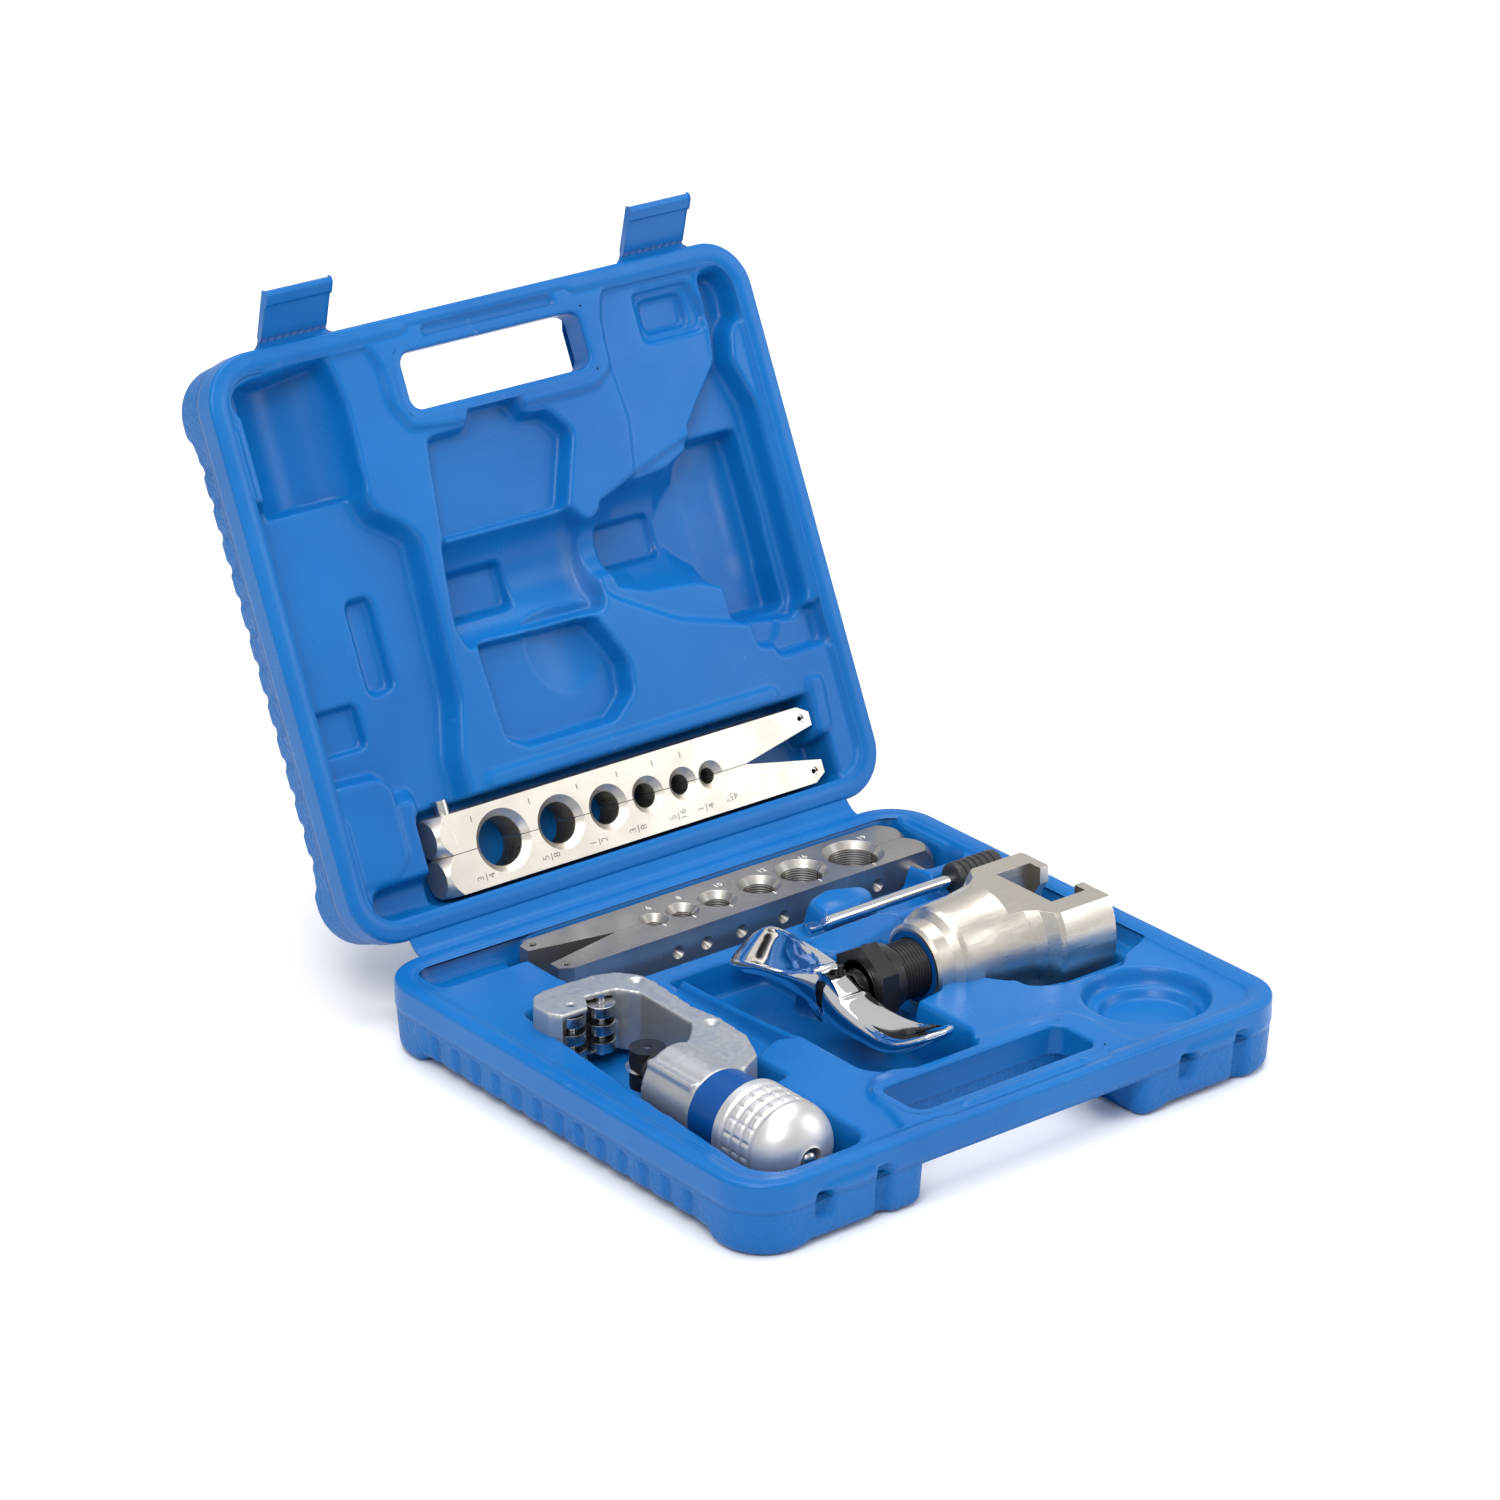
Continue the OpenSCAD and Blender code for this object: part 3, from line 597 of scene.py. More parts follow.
def bottom_face(name, points, z):
    """The underside within the outer wall's last ring, its edge following the feet."""
    bm = bmesh.new()
    rings = []
    for inward, level in ((0.0, 0.0), (0.04, 0.0), (0.12, 1.0)):
        centre = points.mean(0)
        spots = points + (centre - points) * inward
        heights = z * (1 - level) + (-HEIGHT + 3.4) * level
        rings.append([bm.verts.new((p[0], p[1], h)) for p, h in zip(spots, heights)])
    n = len(points)
    for a, b in zip(rings, rings[1:]):
        for i in range(n):
            bm.faces.new((a[i], a[(i + 1) % n], b[(i + 1) % n], b[i]))
    # the panel has its own vertices, so that the slope around it does not bend its shading
    panel = [bm.verts.new(v.co) for v in rings[-1]]
    edges = [bm.edges.new((panel[i], panel[(i + 1) % n])) for i in range(n)]
    bmesh.ops.triangle_fill(bm, use_beauty=True, use_dissolve=False, edges=edges, normal=(0, 0, -1))
    return from_bmesh(name, bm)


def from_bmesh(name, bm):
    """A smooth mesh object from a bmesh, which it frees."""
    for face in bm.faces:
        face.smooth = True
    mesh = bpy.data.meshes.new(name)
    bm.to_mesh(mesh)
    bm.free()
    return linked(name, mesh)


def join(name, objs):
    """One object from several meshes, all still at the origin."""
    bm = bmesh.new()
    for obj in objs:
        bm.from_mesh(obj.data)
        bpy.data.objects.remove(obj)
    return from_bmesh(name, bm)


# ----------------------------------------------------------------- case trays

YOKE_X, YOKE_Y = 31.0, -8.5     # the yoke's end face, and the line of its screw
GRID = 0.8                      # spacing of the trays' points
TRAY = -1.9                     # the tray's face, below the rim
ABOVE = 9.0                     # a height that no tray reaches


def polygon_distance(points, X, Y):
    """Signed distance to a polygon, negative inside."""
    p = np.array(points, float)
    best = np.full(X.shape, 1e9)
    inside = np.zeros(X.shape, bool)
    for a, b in zip(p, np.roll(p, -1, axis=0)):
        ex, ey = b - a
        t = np.clip(((X - a[0]) * ex + (Y - a[1]) * ey) / (ex * ex + ey * ey), 0, 1)
        best = np.minimum(best, np.hypot(X - a[0] - t * ex, Y - a[1] - t * ey))
        if ey:
            crosses = (a[1] <= Y) != (b[1] <= Y)
            inside ^= crosses & (X < a[0] + (Y - a[1]) * ex / ey)
    return np.where(inside, -best, best)


def soften(field, width):
    """Gaussian blur, width in millimetres."""
    sigma = width / GRID
    reach = int(3 * sigma + 1)
    kernel = np.exp(-0.5 * (np.arange(-reach, reach + 1) / sigma) ** 2)
    kernel /= kernel.sum()
    for axis in (0, 1):
        padded = np.pad(field, [(reach, reach) if k == axis else (0, 0) for k in (0, 1)], mode="edge")
        field = sum(
            w * np.take(padded, range(i, i + field.shape[axis]), axis=axis) for i, w in enumerate(kernel)
        )
    return field


def wall(inside, depth, lean=5.0, top=1.6, foot=2.2):
    """Height below the upper level across a moulded wall, by distance inside its edge."""
    scale = min(1.0, depth / (top + foot))
    top, foot = top * scale, foot * scale
    run = (depth - top - foot) * math.tan(math.radians(lean)) + 0.3
    path = [(-top + top * math.sin(a), -top + top * math.cos(a)) for a in np.linspace(0, math.pi / 2, 8)]
    path += [
        (run + foot - foot * math.cos(a), -depth + foot - foot * math.sin(a))
        for a in np.linspace(0, math.pi / 2, 8)
    ]
    u, h = np.array(path).T
    return np.interp(inside, u, h)


def rect(x0, x1, y0, y1):
    return [(x0, y0), (x1, y0), (x1, y1), (x0, y1)]


def disc(x, y, r, steps=28):
    return [
        (x + r * math.cos(2 * math.pi * i / steps), y + r * math.sin(2 * math.pi * i / steps))
        for i in range(steps)
    ]


def trough(across, centre, radius, deepest):
    """A round-bottomed channel's height, by distance across it."""
    return deepest + radius - np.sqrt(np.maximum(radius**2 - (across - centre) ** 2, 0.0))


class Face:
    """A tray's heights over its grid, with pockets pressed in and blocks left standing."""

    def __init__(self, X, Y, Z):
        self.X, self.Y, self.Z = X, Y, Z

    def inside(self, shape, corner):
        """How far each point is within an outline with rounded corners."""
        return -soften(polygon_distance(shape, self.X, self.Y), corner)

    def cut(self, heights):
        self.Z = np.minimum(self.Z, heights)

    def press(self, shape, floor, corner=2.0, lean=5.0, top=1.6, foot=2.2, under=None):
        """Presses a pocket with this outline down to floor, but nowhere below under."""
        inside = self.inside(shape, corner)
        pocket = np.where(inside < -top, ABOVE, TRAY + wall(inside, TRAY - floor, lean, top, foot))
        if under is not None:
            pocket = np.maximum(pocket, under)
        self.cut(pocket)

    def leave(self, shape, foot_level, top_level, corner=2.0, lean=8.0, top=2.0):
        """Leaves a block with this outline standing from foot_level to top_level."""
        outside = -self.inside(shape, corner)
        foot = 1.5
        block = top_level + wall(outside, top_level - foot_level, lean, top, foot)
        run = (top_level - foot_level - top - foot) * math.tan(math.radians(lean)) + 1.8
        self.Z = np.where(outside > run, self.Z, np.maximum(self.Z, block))


def tray(name, height, place, body, node, flip):
    """A tray's face from its height field, reaching under the shell's rim."""
    xs = np.arange(-WIDTH / 2 + 5, WIDTH / 2 - 5 + GRID / 2, GRID)
    ys = np.arange(-DEPTH / 2 + 5, DEPTH / 2 - 5 + GRID / 2, GRID)
    X, Y = np.meshgrid(xs, ys, indexing="ij")
    edge_x, edge_y = WIDTH / 2 - CORNER, DEPTH / 2 - CORNER
    dx, dy = np.maximum(np.abs(X) - edge_x, 0), np.maximum(np.abs(Y) - edge_y, 0)
    from_edge = CORNER - np.hypot(dx, dy)
    slot_in = -polygon_distance(rect(*SLOT), X, Y)
    Z = soften(height(X, Y, from_edge), 0.55)
    keep = (from_edge > 4.9) & (slot_in < -1.6)
    quads = keep[:-1, :-1] & keep[1:, :-1] & keep[:-1, 1:] & keep[1:, 1:]
    index = np.arange(X.size).reshape(X.shape)
    I, J = np.nonzero(quads)
    faces = np.column_stack([index[I, J], index[I + 1, J], index[I + 1, J + 1], index[I, J + 1]])
    used = np.unique(faces)
    new = np.zeros(X.size, int)
    new[used] = np.arange(len(used))
    verts = np.column_stack([X.ravel(), Y.ravel(), Z.ravel()])[used]
    obj = new_mesh(name, verts, new[faces])
    tag(obj, "stress", stress_marks(verts, flip))
    if flip:
        obj.data.transform(Matrix.Scale(-1, 4, (0, 0, 1)))
        obj.data.flip_normals()
    obj.data.transform(place)
    return finish_piece(obj, body, inner_blue, "case_blue", node)


def stress_marks(verts, is_lid):
    """Pale patches where the plastic has been rubbed or bent."""
    spots = LID_SCUFFS if is_lid else BASE_SCUFFS
    marks = np.zeros(len(verts))
    for x, y, rx, ry, strength in spots:
        near = np.exp(-((verts[:, 0] - x) / rx) ** 2 - ((verts[:, 1] - y) / ry) ** 2)
        marks = np.maximum(marks, strength * near)
    return marks


BASE_SCUFFS = [(40, 49, 3, 2, 0.35), (56, 52, 2, 5, 0.2), (-34, -70, 3, 2, 0.3), (36, -72, 4, 1.5, 0.25)]
LID_SCUFFS = [(18, -2, 3, 12, 0.3), (97, -10, 2, 14, 0.22), (97, 12, 3, 5, 0.2)]

BASE_LAND = [
    (-58, -114), (-53, -104), (-48, -90), (-47, -80), (-43, -73.6), (-35, -66.5), (35, -66.2), (46, -68),
    (53, -72), (55, -80), (53.5, -95), (57.5, -108), (60, -114),
]
LID_LAND = [
    (-67, -114), (-55, -106), (-50, -95), (-50, -80.5), (-43.7, -69.7), (-24.6, -67.7), (42, -67.9),
    (51, -74), (53.6, -97), (58, -106), (62, -114),
]


def rim_and_land(X, Y, from_edge, outline_of_land):
    """The tray's face, with the rim and the land round the grip left standing at 0."""
    step = smoothstep(8.2, 9.8, from_edge)
    lip = 0.4 * smoothstep(7.3, 8.1, from_edge) - 0.4
    lip *= 1 - band(*GRIP, 4.0, X) * (Y < -95)
    land = 1 - smoothstep(-1.1, 1.1, soften(polygon_distance(outline_of_land, X, Y), 2.0))
    return (TRAY + PARTING) * step * (1 - land) + lip - PARTING - 0.03


LIP_RIB = 103.9                 # how far in front of the middle the base's rib fits the lid's groove


def base_height(X, Y, from_edge):
    """The base tray's pockets, a tool at a time, then what stands in them."""
    face = Face(X, Y, rim_and_land(X, Y, from_edge, BASE_LAND))
    low = -11.5
    # the metric bar, with room at its tips and at its lobed end
    face.press(rect(-111, -60, 88, 105.5), -9, 2.5, 12)
    face.press(rect(-72.5, 112.5, 65.4, 103), -18.4, 1.4, 2, 1.2, 0.8)
    face.press(rect(92, 114, 58, 72), -14, 2.5)
    # the wide hollows in front of the bar and beside the cutter
    face.press([(-70, 46), (60, 46), (60, 36), (90, 36), (90, 70), (-72, 70), (-72, 61)], low, 2.5)
    face.press([(-64, -31), (-41, -19), (-34, -26), (-32, 70), (-64, 70)], low, 2.2, 14)
    # the yoke: the ledge round it, its wide end, its body and its screw
    ledge = [(57, -43), (68, -50), (97, -51), (101, -45), (106, -43), (117, -39), (117, 30), (57, 30)]
    face.press(ledge, -8, 2.5)
    face.press(rect(76, 109, -40, 23), -17.2, 1.5, 2)
    yoke_body = [(34, -14), (46, -22), (55, -36), (82, -40), (82, 20), (30, 16), (30, -12)]
    face.press(yoke_body, -24.6, 2)
    screw = [(-14, -27), (12, -28.5), (24, -26.5), (31, -25.5), (33, -16), (33, 11), (-14, 11)]
    face.press(screw, -19, 1.6, 2, 1.4, 1.0)
    # the handle
    handle = [
        (-33, -58), (-26, -66), (-19, -69), (-15, -72), (5, -72), (10, -67), (17, -57), (16, 58), (-33, 58),
    ]
    face.press(handle, -24.6, 2.2, 6)
    # the deburrer's rod and grip
    face.press(rect(18, 96, 38.6, 46.4), -6, 1.2, 8, 1.0, 1.5)
    face.press(rect(90, 117, 33.5, 51.5), -9.5, 2, 8)
    # the cutter's frame and knob
    face.press([(-100, 54), (-96, 53), (-57, 54), (-57, -46), (-108, -46)], -20.5, 2.2, 3)
    knob = [(-107, -40), (-64, -40), (-64.5, -95), (-70, -100), (-104, -100), (-110.5, -92)]
    face.press(knob, -24.6, 3, 5)
    # the round recess, in two steps
    face.press(disc(85, -76, 23), -8.5, 0.8, 8, 2.0, 1.5)
    face.press(disc(86, -77, 19.5), -12, 0.8, 8)
    # the two humps that the deburrer's rod passes between
    back_hump = [(33, 45), (50, 44), (60, 48), (61, 56), (47, 62.5), (35, 58.5)]
    face.leave(back_hump, low, 1.8, 1.6, 10, 3.0)
    front_hump = [(9, 28), (14, 16), (26, 15), (48, 21), (60, 29), (52, 36), (20, 35)]
    face.leave(front_hump, low, 0.9, 2.2, 8, 3.0)
    rib = 1 - smoothstep(1.0, 1.8, np.hypot(np.maximum(np.abs(X - 2) - 27, 0), Y + LIP_RIB))
    return face.Z + 1.0 * rib


LOW = -10.8                     # the lid's wide hollow over the cutter


def yoke_hollow(X, Y):
    """The half cone that the shut lid needs over the screw and the yoke."""
    radius = np.interp(X, [16, 17, 29, 30.5, 44, 56, 66, 77, 78.5, 106.5, 108],
                       [0, 12.0, 12.0, 17.2, 21.6, 22.4, 23.4, 28.0, 31.0, 31.0, 0])
    reach = np.maximum(radius**2 - (Y - YOKE_Y) ** 2, 0.0)
    deepest = 22.8
    return np.where(radius > 0, -np.minimum(np.sqrt(reach), deepest), 0.0)


def press_over_cutter(face):
    """The lid's wide hollow over the cutter, and what lies in it."""
    cutter = [
        (-118, -57), (-71, -57), (-68.5, -44), (-56, -35), (-52, -29), (-54.6, 32), (-60.3, 52),
        (-60.7, 72), (-84, 78), (-84, 62), (-118, 62),
    ]
    face.press(cutter, LOW, 1.6, 24)
    # its round-bottomed pocket over the knob, with a scoop at the corner
    knob = [(-113, -92), (-108, -101), (-96, -101), (-71, -103), (-68, -83), (-69.5, -50), (-113, -50)]
    face.press(knob, -20.5, 2.0, 5, under=trough(face.X, -90.0, 22.5, -20.5))
    scoop = TRAY + wall(face.inside(disc(-107.2, -94, 6.8), 1.0), 10, 8, 1.2, 1.6)
    in_corner = (face.X < -100) & (face.Y < -86)
    face.Z = np.where(in_corner, np.minimum(face.Z, scoop), face.Z)
    # two small pockets in that hollow, and the block left in its back corner
    face.press(rect(-87, -74, -15, 23), -15, 1.6)
    face.press(rect(-115, -92, 22, 41), -14.5, 1.6)
    face.leave([(-119, 50), (-96, 51), (-92, 56), (-92.5, 84), (-100, 90), (-119, 90)], LOW, -1.4, 2.0)


def press_over_handle(face):
    """The lid's middle pocket over the handle's hub and the screw, and a panel over each arm."""
    hub = [(-43, -27), (14, -28), (22.5, -18.6), (20, 13), (14, 17), (-43, 16.6), (-46.8, 6)]
    face.press(hub, -17, 2.0, 5, under=trough(face.Y, -6, 22.5, -17))
    face.press(rect(-45, -11, -15, 5.5), -20.5, 1.5)
    # the front panel is notched for the arm's tip
    front_arm = [
        (-37, -65), (-19, -65), (-15.5, -72.5), (4, -72.5), (7.5, -64.3), (17.6, -64), (26, -54),
        (14.5, -26), (-42, -26),
    ]
    face.press(front_arm, -9.4, 1.4, 6, 1.4, 1.8)
    rear_arm = [(-40, 14), (13.4, 16), (23, 36), (21.4, 48), (10.9, 56.2), (-29.6, 56), (-38, 51)]
    face.press(rear_arm, -10.8, 1.4, 6, 1.4, 1.8)


def press_over_yoke(face):
    """Shallow steps in front of and over the yoke, the pocket over its wide end, and the half cone."""
    front_step = [
        (56, -103), (52, -92), (51, -74), (53, -53), (49, -33), (27, -22), (80, -43), (99, -66), (101, -84),
        (101, -103),
    ]
    face.press(front_step, -3.0, 1.2, 8, 0.5, 0.5)
    yoke_step = [
        (22, -18), (28, -22), (48, -32), (80, -42), (84, 34), (77.6, 33.6), (52, 26.5), (28, 13), (22, 9),
    ]
    face.press(yoke_step, -4.6, 1.8, 20, 1.2, 1.2)
    wide_end = [
        (99.6, -66), (102, -81), (102, -101), (113, -101), (117, -93), (116, -81), (110, -77), (107, -64.6),
        (113, -46), (113, 30), (108, 39), (78, 34), (79, -44),
    ]
    face.press(wide_end, -12, 1.8, 8)
    # a bowl over the raised edge of the handle's twisted arm
    dip_floor, dip_x, dip_y = -13.4, 2, 22
    across, along = face.X - dip_x, face.Y - dip_y
    dip = dip_floor + 0.009 * (across ** 2 + 0.7 * along ** 2)
    in_panel = (face.Z < -6) & (face.Z > dip_floor) & (np.abs(across) < 18) & (face.Y > 8) & (face.Y < 46)
    face.Z = np.where(in_panel, np.minimum(face.Z, dip), face.Z)
    # the half cone over the yoke, and the deeper pockets in it
    face.cut(yoke_hollow(face.X, face.Y))
    face.press(rect(33, 64, -17.5, 2), -24.6, 1.6, 3, 1.2, 1.2)
    face.press(rect(77, 108, -40, 34), -23.0, 1.6)


def lid_height(X, Y, from_edge):
    """The lid tray's pockets, most of them over a tool in the base."""
    face = Face(X, Y, rim_and_land(X, Y, from_edge, LID_LAND))
    # the inch bar, with room at its lobed end
    face.press(rect(-86, 104, 68.2, 104), -17.8, 1.6, 3, 1.2, 1.0)
    face.press(rect(-113, -78, 91, 104), -10, 2.5, 10)
    press_over_cutter(face)
    press_over_handle(face)
    press_over_yoke(face)
    # the deburrer's grip, and a hollow beside it
    face.press(rect(92, 116.6, 34.4, 50.6), -7.0, 1.6, 8)
    face.press([(83, 30), (100, 30), (100, 39), (94.7, 46.5), (84.4, 45)], -8, 1.6)
    # two nested pockets at the front right
    face.press([(70, -99.5), (97.5, -99.5), (102, -84), (98.5, -79), (70, -79)], -6, 1.5)
    face.press(rect(73, 95, -96.5, -82), -9, 1.5)
    # a small dimple, and a raised pad beside the inch bar's tips
    face.press(disc(6.9, 52.6, 1.3), -8, 0.4, 2, 0.5, 0.5)
    face.leave([(100.5, 61), (109, 62), (107, 85), (98.5, 85)], -6, -0.6, 1.5)
    groove = 1 - smoothstep(1.9, 2.9, np.hypot(np.maximum(np.abs(X - 2) - 28, 0), Y + LIP_RIB))
    ridge = 1 - smoothstep(2.0, 4.2, np.hypot(np.maximum(np.abs(X - 17) - 66, 0), Y - 64.6))
    return face.Z - 1.6 * groove + 1.0 * ridge


shell("base_skin", BASE, "base", "base_shell", False)
shell("lid_skin", LID, "lid", "lid_shell", True)
tray("base_tray_skin", base_height, BASE, "base", "base_tray", False)
tray("lid_tray_skin", lid_height, LID, "lid", "lid_tray", True)

# --------------------------------------------------------- latches, hinge web

LATCH_PIVOT = (-114.2, 5.5)     # y and z of each latch's fold
LATCH_HANG = 38                 # each open strap's turn about its fold, in degrees
LATCH_WIDTH = 29.0


def extruded(name, corners, x0, x1, edge, step):
    """A bar along X with this rounded (y, z) outline and softened ends."""
    points, normals = outline(corners, step=1.4, arc_steps=4)
    inner = [(0.0, edge), (0.3 * edge, 0.3 * edge), (edge, 0.0)]
    stations = [(x0 + d, inset) for d, inset in inner]
    stations += [(x, 0.0) for x in np.arange(x0 + edge + step, x1 - edge - step / 2, step)]
    stations += [(x1 - d, inset) for d, inset in reversed(inner)]
    verts = []
    for x, inset in stations:
        section = points - normals * inset
        verts.append(np.column_stack([np.full(len(section), x), section]))
    return smooth_by_angle(close_ends(loft(name, verts)), 42)


def latch(name, middle):
    """A thin fold, the strap and the hook at its end, pale where the fold has been worked."""
    half = LATCH_WIDTH / 2
    profile = [
        (1.2, -0.45, 0.2), (1.2, 0.45, 0.2), (-0.9, 0.4, 0.4), (-2.2, 0.9, 0.5), (-21.4, 0.9, 0.5),
        (-21.9, -0.9, 0.4), (-20.6, -1.9, 0.5), (-16.6, -1.9, 0.5), (-15.4, -0.8, 0.4), (-2.2, -0.8, 0.5),
        (-0.9, -0.4, 0.4),
    ]
    obj = extruded(name, profile[::-1], -half, half, 0.5, 0.8)
    verts = np.array([v.co[:] for v in obj.data.vertices])
    fold = band(-2.0, -0.1, 0.9, verts[:, 1])
    ripple = 0.5 + 0.3 * np.sin(verts[:, 0] * 1.9) + 0.2 * np.sin(verts[:, 0] * 4.3 + 1.0)
    tag(obj, "stress", 0.75 * fold * ripple)
    place = (
        LID @ Matrix.Translation((middle, *LATCH_PIVOT)) @ Matrix.Rotation(math.radians(LATCH_HANG), 4, "X")
    )
    obj.data.transform(place)
    finish_piece(obj, name[:-5], inner_blue, "case_blue", name[:-5])

    y, z = LATCH_PIVOT
    root = extruded(
        name[:-5] + "_root",
        [(y + 3.4, z - 2.4, 0.5), (y + 3.4, z + 2.2, 0.5), (y + 1.2, z + 0.9, 1.0), (y + 0.2, z + 0.4, 0.2),
         (y + 0.2, z - 0.4, 0.2), (y + 1.2, z - 0.9, 1.0)][::-1],
        middle - half - 2, middle + half + 2, 0.4, 1.0)
    for v in root.data.vertices:
        v.co.x = middle + (v.co.x - middle) * (1 - 0.11 * float(smoothstep(2.8, 0.6, v.co.y - y)))
    tag(root, "stress", np.zeros(len(root.data.vertices)))
    root.data.transform(LID)
    finish_piece(root, "lid", inner_blue, "case_blue")


latch("latch_left_skin", LATCH_X[0])
latch("latch_right_skin", LATCH_X[1])


def hinge_web():
    """The thin strip that joins the halves, drawn as one span between them that sags a little in its middle."""
    half, thick = 103.6, 1.2
    start = BASE @ Vector((0, DEPTH / 2, -1.0))
    end = LID @ Vector((0, DEPTH / 2, 1.0))
    along = end - start
    up = Vector((0, -along.z, along.y)).normalized() * (thick * MM / 2)
    sag = Vector((0, 0, -0.9 * MM))
    ring = []
    for t in np.linspace(-0.05, 1.05, 16):
        ring.append(start + along * t + sag * math.sin(math.pi * min(1, max(0, t))) + up)
    for t in np.linspace(1.05, -0.05, 16):
        ring.append(start + along * t + sag * math.sin(math.pi * min(1, max(0, t))) - up * 0.9)
    rings = []
    for x in np.linspace(-half, half, 140):
        rings.append(np.array([(x * MM, p.y, p.z) for p in ring]))
    obj = smooth_by_angle(close_ends(loft("hinge_web_skin", rings)), 45)
    tag(obj, "stress", np.zeros(len(obj.data.vertices)))
    obj.data.materials.append(inner_blue)
    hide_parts("hinge_web")
    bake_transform(obj)


hinge_web()

# ------------------------------------------------------------------ die bars

BAR_THICKNESS = 16.0
INCH = LID @ Matrix.Translation((-80.4, 87.0, 1.5)) @ Matrix.Scale(-1, 4, (0, 0, 1))
METRIC = BASE @ Matrix.Translation((109.5, 86.4, -2.0)) @ Matrix.Rotation(math.pi, 4, "Z")
# each hole's place along its bar, its diameter and its size mark
INCH_HOLES = [
    (27.9, 19.05, "3/4"), (54.5, 15.88, "5/8"), (76.8, 12.7, "1/2"), (95.6, 9.53, "3/8"),
    (112.4, 7.94, "5/16"), (125.8, 6.35, "1/4"),
]
METRIC_HOLES = [
    (28.7, 19.0, "19"), (54.2, 16.0, "16"), (74.7, 12.0, "12"), (94.9, 10.0, "10"), (111.5, 8.0, "8"),
    (124.8, 6.0, "6"),
]


def grip_thread(name, holes, side, place):
    """Half of the fine ridges that line each bore of a bar, on one side of its seam."""
    verts, faces = [], []
    depths = np.arange(-3.0, -BAR_THICKNESS + 0.3, -0.5)
    for x, size, _ in holes:
        radius = size / 2
        loop = [(radius + 0.05, depths[0])]
        loop += [(radius - 0.04 - (0.22 if k % 2 else 0.0), z) for k, z in enumerate(depths)]
        loop.append((radius + 0.05, depths[-1]))
        start = len(verts)
        steps = 22
        for k in range(steps + 1):
            a = math.radians(2.5 + 175 * k / steps) * side
            verts += [(x + r * math.cos(a), r * math.sin(a), z) for r, z in loop]
        n = len(loop)
        for k in range(steps):
            for i in range(n):
                j = (i + 1) % n
                near, far = start + k * n, start + (k + 1) * n
                faces.append((near + i, near + j, far + j, far + i))
        faces.append([start + i for i in range(n)])
        faces.append([start + steps * n + i for i in range(n)])
    obj = new_mesh(name, verts, faces, place, smooth=False)
    return outward(obj)


def lettering(name, marks, height, place):
    """Size marks, a hair proud of the steel; marks are (text, x, y, turn in degrees)."""
    objs = []
    for text, x, y, turn in marks:
        curve = bpy.data.curves.new(name, "FONT")
        curve.body = text
        curve.size = height
        curve.extrude = 0.03
        curve.align_x = "CENTER"
        curve.align_y = "CENTER"
        curve.resolution_u = 3
        obj = linked(name, curve)
        obj.location = (x, y, 0.0)
        obj.rotation_euler.z = math.radians(turn)
        bpy.context.view_layer.update()
        mesh = bpy.data.meshes.new_from_object(obj.evaluated_get(bpy.context.evaluated_depsgraph_get()))
        mesh.transform(obj.matrix_world)
        bpy.data.objects.remove(obj)
        objs.append(linked(name, mesh))
    obj = join(name, objs)
    obj.data.transform(place)
    return obj


def stacked(text, x, y):
    """A fraction lying on its side: its top number is nearest the lobed end, then the line."""
    top, bottom = text.split("/")
    apart = 2.55
    return [(top, x + apart, y, -90), ("I", x, y, 0), (bottom, x - apart, y, -90)]


def strokes(name, holes, side, place, lead=0.0):
    """Short index strokes across a jaw's face, one for each hole, set back from it by the lead."""
    verts, faces = [], []
    for hole_x, size, _ in holes:
        x = hole_x - lead
        y0, y1 = side * (size / 2 + 2.4), side * min(size / 2 + 4.6, 13.6)
        if lead:                # those set back stand in one row, near the jaw's edge
            y0, y1 = side * 10.0, side * 12.2
        k = len(verts)
        for z in (-0.05, 0.04):
            verts += [(x - 0.25, y0, z), (x + 0.25, y0, z), (x + 0.25, y1, z), (x - 0.25, y1, z)]
        faces += [(k + 4, k + 5, k + 6, k + 7), (k, k + 1, k + 5, k + 4), (k + 1, k + 2, k + 6, k + 5),
                  (k + 2, k + 3, k + 7, k + 6), (k + 3, k, k + 4, k + 7), (k + 3, k + 2, k + 1, k)]
    return outward(new_mesh(name, verts, faces, place, smooth=False))


def die_bar(kind, holes, place, material):
    """Both jaws of a bar, and the ridges in their halves of the bores."""
    for jaw, side in (("fixed", -1 if kind == "metric" else 1), ("sliding", 1 if kind == "metric" else -1)):
        body = "metric_bar" if kind == "metric" else "inch_bar"
        if jaw == "sliding":
            body = kind + "_sliding_jaw"
        node = f"{kind}_bar_{jaw}_jaw"
        finish_piece(rounded_node(node, 0.35), body, material, "satin_nickel", node)
        thread = grip_thread(f"{kind}_{jaw}_bore_ridges", holes, side, place)
        finish_piece(thread, body, bore_metal, "satin_nickel")


pale_ink = marking("etched_grey", (0.20, 0.185, 0.165, 1.0), (0.36, 0.33, 0.30, 1.0))
bright_ink = marking("etched_bright", (0.78, 0.76, 0.72, 1.0), (0.50, 0.48, 0.45, 1.0))
inch_steel = bar_metal("inch_bar_nickel", (0.70, 0.655, 0.59, 1.0), (0.60, 0.56, 0.50, 1.0))
# the metric bar is the same plated steel as the inch bar; its darker colour is a painted reflection of the dark
# things round it
metric_steel_painted_reflection = bar_metal("metric_bar_nickel_painted_dark_reflection", (0.44, 0.42, 0.395, 1.0), (0.32, 0.305, 0.29, 1.0))
die_bar("inch", INCH_HOLES, INCH, inch_steel)
die_bar("metric", METRIC_HOLES, METRIC, metric_steel_painted_reflection)

UPRIGHT_INCH = INCH @ Matrix.Scale(-1, 4, (1, 0, 0))
UPRIGHT_METRIC = METRIC @ Matrix.Rotation(math.pi, 4, "Z")
